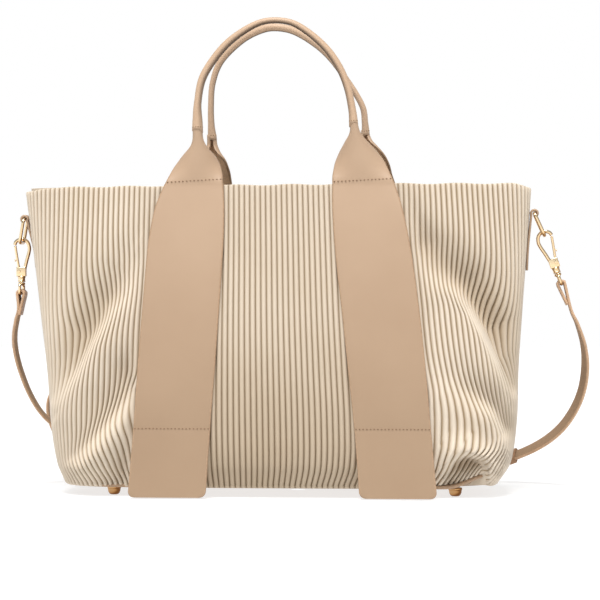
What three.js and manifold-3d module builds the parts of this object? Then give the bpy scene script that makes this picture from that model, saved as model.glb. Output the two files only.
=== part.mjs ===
// Soft ribbed tote: pleated wall, leather base, wide straps that roll into handles, side hardware
// and a long shoulder strap. Millimetres, +Z up, -Y is the front.
import * as THREE from 'three';
import { mergeVertices } from 'three/addons/utils/BufferGeometryUtils.js';
import Module from 'manifold-3d';

const wasm = await Module();
wasm.setup();

// Driving dimensions
const gap = 0.3;
const ribCount = 208;
const ribDepth = 1.6;
const wallThickness = 3;
const innerColumns = ribCount / 2;
const rimHeight = 258;
const footHeight = 7;
const footRadius = 5.8;
const baseThickness = 3;
const baseTop = footHeight + gap + baseThickness;
const strapThickness = 2.6;
const strapClearance = 0.6;
const strapMargin = 4;
const tailHeight = 1.2;
const wireRadius = 1.4;
const ringLength = 20.5;
const ringHalfWidth = 9.5;
const ringCorner = 4;
const tabWidth = 12;
const tabThickness = 1.9;
const tabPlay = 0.5;
const tabPinch = 0.9;
const tabWrap = 0.62;
const hookReach = 28.9;
const shoulderWidth = 14;
const shoulderThickness = 2.4;

// Cross-sections of the wall, from the base up: how far it reaches to each side, and how square it is
const sectionRows = [
  { z: 10.6, left: 181, right: 184, front: 74, back: 74, square: 4.6 },
  { z: 26, left: 187, right: 194, front: 82, back: 82, square: 4.4 },
  { z: 60, left: 193, right: 199.5, front: 82, back: 82, square: 4.0 },
  { z: 104, left: 197.5, right: 201, front: 76, back: 76, square: 3.6 },
  { z: 150, left: 204, right: 204, front: 66, back: 66, square: 3.2 },
  { z: 204, left: 211.2, right: 208, front: 53, back: 53, square: 2.9 },
  { z: rimHeight, left: 218.5, right: 211.8, front: 40, back: 40, square: 2.7 },
];

// Slump folds: each is a straight crest or valley that pushes the front or the back in or out and drags the
// ribs aside, with one width where it begins and another where it ends
const foldRows = [
  { side: -1, x0: -126, z0: 194, x1: -184, z1: 84, lift: -9, wide: 17, thin: 14, drag: 6 },
  { side: -1, x0: -135, z0: 150, x1: -177, z1: 74, lift: 6, wide: 17, thin: 14, drag: 0 },
  { side: -1, x0: -118, z0: 96, x1: -164, z1: 36, lift: -7, wide: 16, thin: 11, drag: 0 },
  { side: -1, x0: -126, z0: 66, x1: -160, z1: 24, lift: 5, wide: 13, thin: 11, drag: -4 },
  { side: -1, x0: 112, z0: 236, x1: 122, z1: 206, lift: -4, wide: 12, thin: 14, drag: -1 },
  { side: -1, x0: 148, z0: 188, x1: 197, z1: 90, lift: -10, wide: 16, thin: 13, drag: -8 },
  { side: -1, x0: 147, z0: 166, x1: 189, z1: 86, lift: 6, wide: 17, thin: 14, drag: 0 },
  { side: -1, x0: 152, z0: 96, x1: 195, z1: 42, lift: -7, wide: 12, thin: 11, drag: 0 },
  { side: -1, x0: 142, z0: 82, x1: 186, z1: 46, lift: 7, wide: 13, thin: 12, drag: 6 },
  { side: -1, x0: 146, z0: 22, x1: 170, z1: 24, lift: -8, wide: 11, thin: 10, drag: -1 },
  { side: 1, x0: -140, z0: 180, x1: -182, z1: 84, lift: 6, wide: 18, thin: 18, drag: -4 },
  { side: 1, x0: 140, z0: 174, x1: 184, z1: 88, lift: 6, wide: 18, thin: 18, drag: 4 },
  { side: 1, x0: 122, z0: 84, x1: 176, z1: 30, lift: 5, wide: 16, thin: 16, drag: 3 },
  { side: 1, x0: -118, z0: 88, x1: -172, z1: 34, lift: 5, wide: 16, thin: 16, drag: -3 },
];
const dragReach = 1.5;
const dragTurns = 3;
const foldFacing = { from: 4, to: 42 };
const foldFade = { low: 24, high: 222 };

// Wide straps, from the free tail up to the rolled neck: x is the middle line, turn is the roll
const strapRows = {
  left: [
    { z: tailHeight, x: -86.4, width: 54, turn: 1 },
    { z: tailHeight + 1.5, x: -86.3, width: 60, turn: 1 },
    { z: tailHeight + 5, x: -86.1, width: 64, turn: 1 },
    { z: 57, x: -83, width: 63.5, turn: 1 },
    { z: 104, x: -80.3, width: 64, turn: 1 },
    { z: 150, x: -78, width: 64, turn: 1 },
    { z: 204, x: -75.4, width: 63.4, turn: 1 },
    { z: 222, x: -74.2, width: 61.7, turn: 1 },
    { z: 240, x: -72.6, width: 58, turn: 2 },
    { z: rimHeight, x: -69.8, width: 50, turn: 8 },
    { z: 261.5, x: -69.2, width: 47.8, turn: 14 },
    { z: 269, x: -68.1, width: 46.9, turn: 70 },
    { z: 277, x: -67.4, width: 47.5, turn: 140 },
    { z: 284, x: -67, width: 46, turn: 200 },
    { z: 288, x: -66.8, width: 40.5, turn: 250 },
    { z: 292, x: -66.7, width: 33, turn: 300 },
    { z: 297, x: -67, width: 27, turn: 325 },
    { z: 304.4, x: -67.3, width: 25.6, turn: 330 },
  ],
  right: [
    { z: tailHeight, x: 102.2, width: 54, turn: 1 },
    { z: tailHeight + 1.5, x: 102.1, width: 59, turn: 1 },
    { z: tailHeight + 5, x: 101.8, width: 63, turn: 1 },
    { z: 57, x: 97.4, width: 62.5, turn: 1 },
    { z: 104, x: 92.6, width: 63.5, turn: 1 },
    { z: 150, x: 87.4, width: 64, turn: 1 },
    { z: 204, x: 80.2, width: 63, turn: 1 },
    { z: 240, x: 75, width: 58, turn: 2 },
    { z: rimHeight, x: 72, width: 52.5, turn: 8 },
    { z: 262.5, x: 71, width: 50.8, turn: 14 },
    { z: 270.5, x: 69.5, width: 49.6, turn: 65 },
    { z: 280, x: 68.1, width: 49.8, turn: 130 },
    { z: 289, x: 66.5, width: 47, turn: 195 },
    { z: 295.5, x: 65.3, width: 38, turn: 250 },
    { z: 300, x: 64.8, width: 28, turn: 300 },
    { z: 304.5, x: 64.3, width: 21.5, turn: 325 },
    { z: 308.9, x: 63.6, width: 20, turn: 330 },
  ],
};
const neckTops = { front_left: 304.4, front_right: 308.9, back_left: 302.4, back_right: 305.6 };

// The back necks stand a little further to the right than the front ones
const backShift = { left: 4.4, right: 6, low: 262, high: 295 };

// How far the front-most line of a strap stands from the middle of the bag, above the rim
const strapLean = [
  { z: rimHeight, out: 43.2 },
  { z: 264, out: 43.5 },
  { z: 270, out: 43.6 },
  { z: 277, out: 42.8 },
  { z: 286, out: 41.1 },
  { z: 296, out: 39.8 },
  { z: 309, out: 39.3 },
];
const tailFlare = 8;
const lowerSeam = 57;

// Handles, from the left neck over the top to the right one: half thickness as seen and in depth
const handleRows = {
  front: [
    { x: -67.3, out: 35.4, z: 304.9, thick: 4.6, deep: 4.6 },
    { x: -67.4, out: 35.1, z: 312, thick: 4.2, deep: 4.4 },
    { x: -67.2, out: 34.6, z: 328, thick: 3.1, deep: 4 },
    { x: -62.6, out: 33.5, z: 349.5, thick: 3.2, deep: 3.9 },
    { x: -47.4, out: 30.6, z: 372.4, thick: 3.2, deep: 3.8 },
    { x: -30.5, out: 28.4, z: 387, thick: 2.9, deep: 3.7 },
    { x: -12, out: 27.2, z: 395.8, thick: 2.5, deep: 3.6 },
    { x: 8, out: 27.2, z: 395.4, thick: 2.5, deep: 3.6 },
    { x: 23.5, out: 27.9, z: 387.4, thick: 2.8, deep: 3.7 },
    { x: 40, out: 29.6, z: 372.7, thick: 3, deep: 3.8 },
    { x: 51.5, out: 31.6, z: 356, thick: 3.1, deep: 3.8 },
    { x: 58.4, out: 33.1, z: 338.8, thick: 3.1, deep: 3.9 },
    { x: 62.2, out: 34.6, z: 320.8, thick: 3.2, deep: 4 },
    { x: 63.5, out: 35.5, z: 309.4, thick: 3.8, deep: 4.2 },
  ],
  back: [
    { x: -62.5, out: 35.4, z: 302.9, thick: 4, deep: 4.4 },
    { x: -63.4, out: 34.9, z: 313, thick: 2.9, deep: 4.2 },
    { x: -63.6, out: 34.1, z: 330, thick: 2.5, deep: 4 },
    { x: -62, out: 33.4, z: 350, thick: 2.5, deep: 3.9 },
    { x: -54.5, out: 31.6, z: 368.8, thick: 2.8, deep: 3.8 },
    { x: -37, out: 29.1, z: 386, thick: 3.1, deep: 3.7 },
    { x: -20, out: 27.9, z: 395, thick: 3.3, deep: 3.6 },
    { x: -6, out: 27.4, z: 397, thick: 3.3, deep: 3.6 },
    { x: 10, out: 27.6, z: 393.4, thick: 3.2, deep: 3.6 },
    { x: 28, out: 28.9, z: 382.3, thick: 3, deep: 3.7 },
    { x: 41, out: 30.6, z: 370, thick: 2.8, deep: 3.8 },
    { x: 52, out: 32.1, z: 355, thick: 2.6, deep: 3.8 },
    { x: 62, out: 33.4, z: 340, thick: 2.6, deep: 3.9 },
    { x: 68.5, out: 34.1, z: 327, thick: 2.6, deep: 4 },
    { x: 70, out: 34.9, z: 315, thick: 2.8, deep: 4.2 },
    { x: 70.6, out: 35.5, z: 306.1, thick: 3.5, deep: 4.3 },
  ],
};

// Side hardware: where each ring's bar sits in its tab, how far ring and hook lean outwards
const sides = {
  left: { sign: -1, barX: 219.4, barZ: 231, ringLean: 9.5, hookLean: 0, tabFootX: 209.9, tabFootZ: 190 },
  right: { sign: 1, barX: 214.3, barZ: 235, ringLean: 24.3, hookLean: 19, tabFootX: 207.1, tabFootZ: 187 },
};

// Route of the shoulder strap from the left eye round behind the bag to the right eye; turn tips its
// width out of the level
const shoulderRows = [
  { x: -223.8, y: 0, z: 156, turn: 0 },
  { x: -228.6, y: 4, z: 146, turn: 0 },
  { x: -232.2, y: 10, z: 133, turn: 0 },
  { x: -233, y: 18, z: 120, turn: 0 },
  { x: -230.8, y: 32, z: 102, turn: 0 },
  { x: -225, y: 48, z: 81, turn: 0 },
  { x: -217.5, y: 61, z: 64, turn: 0 },
  { x: -207, y: 72, z: 51, turn: 0 },
  { x: -194, y: 80, z: 42, turn: 0 },
  { x: -178, y: 86, z: 39, turn: 0 },
  { x: -166, y: 89, z: 48, turn: 0 },
  { x: -163, y: 91, z: 64, turn: 0 },
  { x: -172, y: 93, z: 80, turn: 0 },
  { x: -188, y: 95, z: 89, turn: 0 },
  { x: -203, y: 97, z: 86, turn: 0 },
  { x: -211.5, y: 98, z: 75, turn: 0 },
  { x: -212.5, y: 99, z: 61, turn: 0 },
  { x: -208, y: 101, z: 46, turn: 0 },
  { x: -198, y: 103, z: 32, turn: 0 },
  { x: -182, y: 106, z: 20, turn: 0 },
  { x: -160, y: 109, z: 11, turn: 0 },
  { x: -135, y: 112, z: 5, turn: 0 },
  { x: -108, y: 113, z: 2.4, turn: 0 },
  { x: -72, y: 113, z: 1.8, turn: 0 },
  { x: 0, y: 112, z: 1.8, turn: 0 },
  { x: 72, y: 112, z: 1.8, turn: 0 },
  { x: 112, y: 112, z: 2.4, turn: 6 },
  { x: 142, y: 111, z: 7, turn: 14 },
  { x: 170, y: 108, z: 14, turn: 20 },
  { x: 198, y: 102, z: 23, turn: 24 },
  { x: 221, y: 88, z: 34.5, turn: 25 },
  { x: 238, y: 70, z: 49, turn: 25 },
  { x: 249.5, y: 52, z: 66.5, turn: 24 },
  { x: 256.2, y: 36, z: 85.5, turn: 22 },
  { x: 258.2, y: 22, z: 106, turn: 20 },
  { x: 256.2, y: 11, z: 124, turn: 12 },
  { x: 250.4, y: 4, z: 142, turn: 4 },
  { x: 245, y: 1, z: 154, turn: 0 },
];
const foldedPly = 18;
const keeperX = 198;
const keeperLength = 7;
const keeperWall = 1.4;
const keeperPlay = 0.6;

const finishes = {
  cloth: { color: 0xe9dcc3, roughness: 0.85, metalness: 0 },
  leather: { color: 0xcfae8c, roughness: 0.6, metalness: 0 },
  metal: { color: 0xd9b36c, roughness: 0.25, metalness: 1 },
};
const group = new THREE.Group();

function addPiece(name, geometry, finish, parent = group) {
  const mesh = new THREE.Mesh(geometry, new THREE.MeshStandardMaterial(finishes[finish]));
  mesh.name = name;
  parent.add(mesh);
  return mesh;
}

// A smooth reading of one column of a table at height or place `at`
function readColumn(rows, key, column, at) {
  const last = rows.length - 1;
  let i = 0;
  while (i < last - 1 && at > rows[i + 1][key]) i += 1;
  const span = rows[i + 1][key] - rows[i][key];
  const t = THREE.MathUtils.clamp((at - rows[i][key]) / span, 0, 1);
  const slope = (a, b) => (rows[b][column] - rows[a][column]) / (rows[b][key] - rows[a][key]);
  const m0 = slope(Math.max(i - 1, 0), i + 1) * span;
  const m1 = slope(i, Math.min(i + 2, last)) * span;
  const t2 = t * t;
  const t3 = t2 * t;
  return rows[i][column] * (2 * t3 - 3 * t2 + 1) + m0 * (t3 - 2 * t2 + t)
    + rows[i + 1][column] * (3 * t2 - 2 * t3) + m1 * (t3 - t2);
}

function meshFrom(points, triangles) {
  const geometry = new THREE.BufferGeometry();
  const flat = points.flatMap((p) => [p.x, p.y, p.z]);
  geometry.setAttribute('position', new THREE.Float32BufferAttribute(flat, 3));
  const volume = triangles.reduce((sum, [a, b, c]) => {
    const cross = new THREE.Vector3().crossVectors(points[b], points[c]);
    return sum + points[a].dot(cross);
  }, 0);
  const outward = volume > 0 ? triangles : triangles.map(([a, b, c]) => [a, c, b]);
  geometry.setIndex(outward.flat());
  return geometry;
}

// Skin over rings of equal even count; an end is closed by quads between point i and its opposite
function loft(rings, closed = false) {
  const count = rings[0].length;
  const points = rings.flat();
  const triangles = [];
  const steps = closed ? rings.length : rings.length - 1;
  for (let r = 0; r < steps; r += 1) {
    const low = r * count;
    const high = ((r + 1) % rings.length) * count;
    for (let i = 0; i < count; i += 1) {
      const j = (i + 1) % count;
      triangles.push([low + i, low + j, high + j], [low + i, high + j, high + i]);
    }
  }
  if (!closed) {
    const top = (rings.length - 1) * count;
    for (let i = 0; i < count / 2 - 1; i += 1) {
      const j = count - 1 - i;
      triangles.push([i, j, j - 1], [i, j - 1, i + 1]);
      triangles.push([top + i, top + j - 1, top + j], [top + i, top + i + 1, top + j - 1]);
    }
  }
  return meshFrom(points, triangles);
}

function toSolid(geometry) {
  return new wasm.Manifold(new wasm.Mesh({
    numProp: 3,
    vertProperties: new Float32Array(geometry.attributes.position.array),
    triVerts: new Uint32Array(geometry.index.array),
  }));
}

function positionsOnly(geometry) {
  geometry.deleteAttribute('normal');
  geometry.deleteAttribute('uv');
  return mergeVertices(geometry, 1e-4);
}

function fromSolid(solid) {
  const mesh = solid.getMesh();
  const geometry = new THREE.BufferGeometry();
  geometry.setAttribute('position', new THREE.Float32BufferAttribute(mesh.vertProperties, 3));
  geometry.setIndex(Array.from(mesh.triVerts));
  return geometry;
}

// Body wall
const outlineSteps = 720;

function sectionOutline(z) {
  const read = (column) => readColumn(sectionRows, 'z', column, z);
  const power = 2 / read('square');
  const half = (read('left') + read('right')) / 2;
  const middle = (read('right') - read('left')) / 2;
  const front = read('front');
  const back = read('back');
  const points = [];
  for (let i = 0; i <= outlineSteps; i += 1) {
    const angle = (i / outlineSteps) * Math.PI * 2;
    const s = Math.sin(angle);
    const c = Math.cos(angle);
    const x = middle + half * Math.sign(s) * Math.abs(s) ** power;
    const y = -(c > 0 ? front : back) * Math.sign(c) * Math.abs(c) ** power;
    points.push(new THREE.Vector2(x, y));
  }
  return points;
}

// Points at equal steps along the outline, from the middle of the front, with outward normals
function evenlySpaced(outline, count) {
  const along = [0];
  for (let i = 1; i < outline.length; i += 1) {
    along.push(along[i - 1] + outline[i].distanceTo(outline[i - 1]));
  }
  const total = along[along.length - 1];
  const found = [];
  let i = 0;
  for (let k = 0; k < count; k += 1) {
    const target = (total * k) / count;
    while (along[i + 1] < target) i += 1;
    const t = (target - along[i]) / (along[i + 1] - along[i]);
    const place = outline[i].clone().lerp(outline[i + 1], t);
    const tangent = outline[i + 1].clone().sub(outline[i]).normalize();
    found.push({ place, normal: new THREE.Vector2(tangent.y, -tangent.x) });
  }
  return found;
}

// How far the folds push and drag the wall; a fold lies where its row says after the dragging
function foldAt(x, y, z) {
  let push = 0;
  let drag = 0;
  for (let turn = 0; turn < dragTurns; turn += 1) {
    const place = x + drag;
    push = 0;
    drag = 0;
    for (const fold of foldRows) {
      const along = new THREE.Vector2(fold.x1 - fold.x0, fold.z1 - fold.z0);
      const reach = new THREE.Vector2(place - fold.x0, z - fold.z0);
      const t = THREE.MathUtils.clamp(reach.dot(along) / along.lengthSq(), 0, 1);
      const width = THREE.MathUtils.lerp(fold.wide, fold.thin, t);
      const away = reach.sub(along.multiplyScalar(t)).length() / width;
      const facing = THREE.MathUtils.smoothstep(y * fold.side, foldFacing.from, foldFacing.to);
      push += fold.side * fold.lift * facing * Math.exp(-(away ** 2));
      drag += fold.drag * facing * Math.exp(-((away / dragReach) ** 2));
    }
  }
  const seams = THREE.MathUtils.smoothstep(z, sectionRows[0].z, foldFade.low)
    * (1 - THREE.MathUtils.smoothstep(z, foldFade.high, rimHeight));
  return { push: push * seams, drag: drag * seams };
}

function wallRing(z, count, offset) {
  return evenlySpaced(sectionOutline(z), count).map(({ place, normal }, k) => {
    const fold = foldAt(place.x, place.y, z);
    const out = normal.clone().multiplyScalar(offset(k));
    return new THREE.Vector3(place.x + fold.drag + out.x, place.y + fold.push + out.y, z);
  });
}

function bodyShell() {
  const outer = sectionRows.map((row) => wallRing(row.z, ribCount * 2, (k) => (k % 2 ? -ribDepth : 0)));
  const inner = sectionRows.map((row) => wallRing(row.z, innerColumns, () => -ribDepth - wallThickness));
  const points = [...outer.flat(), ...inner.flat()];
  const triangles = [];
  const skin = (start, count, flip) => {
    for (let r = 0; r < sectionRows.length - 1; r += 1) {
      for (let i = 0; i < count; i += 1) {
        const a = start + r * count + i;
        const b = start + r * count + ((i + 1) % count);
        const quad = [[a, b, b + count], [a, b + count, a + count]];
        quad.forEach(([p, q, s]) => triangles.push(flip ? [p, s, q] : [p, q, s]));
      }
    }
  };
  const outerCount = ribCount * 2;
  const innerStart = outerCount * sectionRows.length;
  skin(0, outerCount, false);
  skin(innerStart, innerColumns, true);
  const share = outerCount / innerColumns;
  const closeRing = (level, flip) => {
    const put = (p, q, s) => triangles.push(flip ? [p, s, q] : [p, q, s]);
    for (let i = 0; i < innerColumns; i += 1) {
      const a = innerStart + level * innerColumns + i;
      const b = innerStart + level * innerColumns + ((i + 1) % innerColumns);
      const outerAt = (k) => level * outerCount + ((i * share + k) % outerCount);
      for (let k = 0; k < share; k += 1) {
        put(k < share / 2 ? a : b, outerAt(k), outerAt(k + 1));
      }
      put(a, outerAt(share / 2), b);
    }
  };
  closeRing(sectionRows.length - 1, false);
  closeRing(0, true);
  return meshFrom(points, triangles);
}

addPiece('body_shell', bodyShell(), 'cloth');

// Base and feet
const baseSteps = 36;
const baseRing = (z) => evenlySpaced(sectionOutline(sectionRows[0].z), baseSteps)
  .map(({ place, normal }) => new THREE.Vector3(place.x + normal.x, place.y + normal.y, z));
addPiece('base_panel', loft([baseRing(baseTop - baseThickness), baseRing(baseTop)]), 'leather');

const footProfile = [
  { r: 0, z: 0 },
  { r: 0.5, z: 0 },
  { r: 0.82, z: 0.22 },
  { r: 1, z: 0.62 },
  { r: 1, z: 1 },
  { r: 0, z: 1 },
].map(({ r, z }) => new THREE.Vector2(r * footRadius, z * footHeight));
const footSides = 8;
const baseMiddle = 6;
const footSpread = { x: 142, y: 46 };
for (const [row, ySign] of [['front', -1], ['back', 1]]) {
  for (const [side, xSign] of [['left', -1], ['right', 1]]) {
    const dome = new THREE.LatheGeometry(footProfile, footSides).rotateX(Math.PI / 2);
    const foot = addPiece(`foot_${row}_${side}`, positionsOnly(dome), 'metal');
    foot.position.set(baseMiddle + xSign * footSpread.x, ySign * footSpread.y, 0);
  }
}

// Wide straps: how far out the wall reaches anywhere behind the strap at one height
const wallAt = sectionRows.map((row) => wallRing(row.z, ribCount, () => 0));

function wallReach(z, x, width, ySign) {
  let level = 0;
  while (level < sectionRows.length - 2 && z > sectionRows[level + 1].z) level += 1;
  const reachOf = (ring) => Math.max(...ring.filter((p) => Math.abs(p.x - x) < width / 2 + strapMargin)
    .map((p) => p.y * ySign));
  const below = reachOf(wallAt[level]);
  const above = reachOf(wallAt[level + 1]);
  const t = (z - sectionRows[level].z) / (sectionRows[level + 1].z - sectionRows[level].z);
  return below + (above - below) * THREE.MathUtils.clamp(t, 0, 1);
}

const strapSteps = 6;

function strapOut(row, ySign) {
  const back = strapClearance + strapThickness;
  if (row.z >= rimHeight) return readColumn(strapLean, 'z', 'out', row.z);
  if (row.z >= lowerSeam) return wallReach(row.z, row.x, row.width, ySign) + back;
  const seam = wallReach(lowerSeam, row.x, row.width, ySign) + back;
  return seam + tailFlare * (1 - row.z / lowerSeam);
}

// A strap's stations are its rows up to where its neck ends
function strapStations(row, side) {
  const rows = strapRows[side];
  const top = neckTops[`${row}_${side}`];
  const levels = [...rows.map(({ z }) => z).filter((z) => z < top - 1), top];
  return levels.map((z) => {
    const [x, width, turn] = ['x', 'width', 'turn'].map((column) => readColumn(rows, 'z', column, z));
    const shift = backShift[side] * THREE.MathUtils.smoothstep(z, backShift.low, backShift.high);
    return { z, x: row === 'back' ? x + shift : x, width, turn };
  });
}

function wideStrap(stations, ySign) {
  return loft(stations.map((row) => {
    const angle = THREE.MathUtils.degToRad(row.turn);
    const radius = row.width / angle;
    const front = strapOut(row, ySign);
    const at = (i, inset) => {
      const a = ((i / (strapSteps - 1)) - 0.5) * angle;
      const r = radius - inset;
      const out = front - radius + r * Math.cos(a);
      return new THREE.Vector3(row.x + r * Math.sin(a), out * ySign, row.z);
    };
    const steps = [...Array(strapSteps).keys()];
    return [...steps.map((i) => at(i, 0)), ...steps.reverse().map((i) => at(i, strapThickness))];
  }));
}

// Rolled handles, which bell out where they meet the necks
const handleSides = 8;
const handleSteps = 12;

function ellipseRing(centre, across, deep, halfAcross, halfDeep, count) {
  return [...Array(count).keys()].map((i) => {
    const angle = ((i + 0.5) / count) * Math.PI * 2;
    return centre.clone()
      .addScaledVector(across, halfAcross * Math.cos(angle))
      .addScaledVector(deep, halfDeep * Math.sin(angle));
  });
}

function handle(rows, ySign) {
  const curve = new THREE.CatmullRomCurve3(rows.map((r) => new THREE.Vector3(r.x, r.out * ySign, r.z)));
  const forward = new THREE.Vector3(0, 1, 0);
  const last = rows.length - 1;
  return loft([...Array(handleSteps + 1).keys()].map((i) => {
    const t = i / handleSteps;
    const level = i === 0 || i === handleSteps;
    const tangent = curve.getTangent(t);
    const rise = new THREE.Vector3(0, 0, t < 0.5 ? 1 : -1);
    const across = new THREE.Vector3().crossVectors(forward, level ? rise : tangent).normalize();
    const square = level ? forward : new THREE.Vector3().crossVectors(tangent, across);
    const low = Math.min(Math.floor(t * last), last - 1);
    const mix = (column) => THREE.MathUtils.lerp(rows[low][column], rows[low + 1][column], t * last - low);
    return ellipseRing(curve.getPoint(t), across, square, mix('thick'), mix('deep'), handleSides);
  }));
}

for (const [row, ySign] of [['front', -1], ['back', 1]]) {
  for (const side of ['left', 'right']) {
    addPiece(`strap_${row}_${side}`, wideStrap(strapStations(row, side), ySign), 'leather');
  }
  addPiece(`handle_${row}`, handle(handleRows[row], ySign), 'leather');
}

// Side hardware. A side's plane is seen from the front: `out` is away from the bag, `up` is +Z
const wireSides = 6;

// Round wire along a path of { u, w } points in the plane of one side
function flatWire(path, across, deep, closed) {
  const count = path.length;
  const rings = path.map(({ u, w }, i) => {
    const before = path[closed ? (i + count - 1) % count : Math.max(i - 1, 0)];
    const after = path[closed ? (i + 1) % count : Math.min(i + 1, count - 1)];
    const tangent = new THREE.Vector2(after.u - before.u, after.w - before.w).normalize();
    const normal = new THREE.Vector3(tangent.y, 0, -tangent.x);
    return ellipseRing(new THREE.Vector3(u, 0, w), normal, new THREE.Vector3(0, 1, 0), across, deep,
      wireSides);
  });
  return loft(rings, closed);
}

// Loop of wire with round corners, in the plane of Y and Z, hanging down from its upper bar
const cornerSteps = 3;

function wireLoop(halfWidth, length, corner, radius) {
  const path = [];
  const corners = [
    { y: halfWidth - corner, z: -corner, from: 0 },
    { y: -halfWidth + corner, z: -corner, from: 90 },
    { y: -halfWidth + corner, z: corner - length, from: 180 },
    { y: halfWidth - corner, z: corner - length, from: 270 },
  ];
  for (const { y, z, from } of corners) {
    for (let i = 0; i < cornerSteps; i += 1) {
      const angle = THREE.MathUtils.degToRad(from + (90 * i) / (cornerSteps - 1));
      path.push({ u: y + corner * Math.cos(angle), w: z + corner * Math.sin(angle) });
    }
  }
  return flatWire(path, radius, radius, true).rotateZ(Math.PI / 2);
}

const boxOf = (low, high) => {
  const size = new THREE.Vector3().subVectors(high, low);
  const box = new THREE.BoxGeometry(size.x, size.y, size.z);
  const middle = new THREE.Vector3().addVectors(low, high).multiplyScalar(0.5);
  return positionsOnly(box.translate(middle.x, middle.y, middle.z));
};
const at = (x, y, z) => new THREE.Vector3(x, y, z);
const rodSides = 8;
const rodAlongY = (u, w, radius, half) => positionsOnly(
  new THREE.CylinderGeometry(radius, radius, half * 2, rodSides),
).translate(u, 0, w);
const rodAlongZ = (radius, low, high) => positionsOnly(
  new THREE.CylinderGeometry(radius, radius, high - low, rodSides).rotateX(Math.PI / 2),
).translate(0, 0, (low + high) / 2);

// Snap hook: a block that carries the gate's pin, a spine and bow, and a socket for the swivel
const pivot = { u: 2, w: 4.6 };
const pinRadius = 0.9;
const joinDepth = 0.6;
const spineHalf = { across: 1.5, deep: 1.6 };
const gateHalf = 1.1;
const block = { inner: -4, outer: 4.2, half: 2.8, low: 0.3, high: 8.3 };
const slotHalf = 1.3;
const slot = { inner: -0.9, outer: 6, low: 1.4, high: 10 };
const knuckleRadius = 2.5;
const socket = { radius: 3, bore: 1.9, low: -4.5, roof: -0.6 };
const spinePath = [
  { u: -2.6, w: 7 }, { u: -4.4, w: 14 }, { u: -6.3, w: 21 }, { u: -6.6, w: 25.4 }, { u: -4.8, w: 30 },
  { u: 0, w: 32.4 }, { u: 4.6, w: 30.3 }, { u: 6, w: 27.3 },
];
const gatePath = [{ u: 2.1, w: 6 }, { u: 3.2, w: 12 }, { u: 4.4, w: 19 }, { u: 5.4, w: 25.6 }];

function hookSolid() {
  const slotBox = boxOf(at(slot.inner, -slotHalf, slot.low), at(slot.outer, slotHalf, slot.high));
  const blockBox = boxOf(at(block.inner, -block.half, block.low), at(block.outer, block.half, block.high));
  return toSolid(blockBox)
    .subtract(toSolid(slotBox))
    .add(toSolid(rodAlongY(pivot.u, pivot.w, pinRadius, block.half)))
    .add(toSolid(rodAlongZ(socket.radius, socket.low, block.low + joinDepth)))
    .subtract(toSolid(rodAlongZ(socket.bore, socket.low - 1, socket.roof)))
    .add(toSolid(flatWire(spinePath, spineHalf.across, spineHalf.deep, false)));
}

function gateSolid() {
  const half = slotHalf - gap;
  return toSolid(rodAlongY(pivot.u, pivot.w, knuckleRadius, half))
    .add(toSolid(flatWire(gatePath, gateHalf, half, false)))
    .subtract(toSolid(rodAlongY(pivot.u, pivot.w, pinRadius + gap, half + 1)));
}

// Swivel eye: a stem in the hook's socket, a collar and a loop for the shoulder strap
const eye = {
  stem: 1.5, collar: 3, top: -4.8, bottom: -7, bar: -14.5, halfWidth: 9.2, corner: 2.6, wire: 1.25,
};

function eyeSolid() {
  const loop = wireLoop(eye.halfWidth, eye.bottom - eye.bar + joinDepth, eye.corner, eye.wire)
    .translate(0, 0, eye.bottom + joinDepth);
  return toSolid(rodAlongZ(eye.stem, eye.bottom + joinDepth, socket.roof - gap))
    .add(toSolid(rodAlongZ(eye.collar, eye.bottom, eye.top)))
    .add(toSolid(loop));
}

// Leather tab: a strip on the wall with a loop at its top, drawn in the side's plane
function sideTab(side) {
  const loop = wireRadius + tabPlay + tabThickness;
  const shape = new THREE.Shape();
  const foot = { u: side.tabFootX - side.barX, w: side.tabFootZ - side.barZ };
  shape.moveTo(foot.u, foot.w);
  shape.lineTo(foot.u + tabThickness, foot.w);
  shape.lineTo(-loop + tabThickness, -loop * tabPinch);
  shape.absarc(0, 0, loop, -Math.PI * tabWrap, Math.PI, false);
  shape.lineTo(foot.u, foot.w);
  const hole = new THREE.Path();
  hole.absarc(0, 0, wireRadius + tabPlay, 0, Math.PI * 2, true);
  shape.holes.push(hole);
  const solid = new THREE.ExtrudeGeometry(shape, { depth: tabWidth, bevelEnabled: false, curveSegments: 7 });
  return positionsOnly(solid).rotateX(Math.PI / 2).translate(0, tabWidth / 2, 0);
}

const mirrored = (geometry, sign) => {
  if (sign > 0) return geometry;
  const flipped = geometry.clone().scale(-1, 1, 1);
  const index = Array.from(flipped.index.array);
  for (let i = 0; i < index.length; i += 3) [index[i], index[i + 1]] = [index[i + 1], index[i]];
  flipped.setIndex(index);
  return flipped;
};

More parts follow.
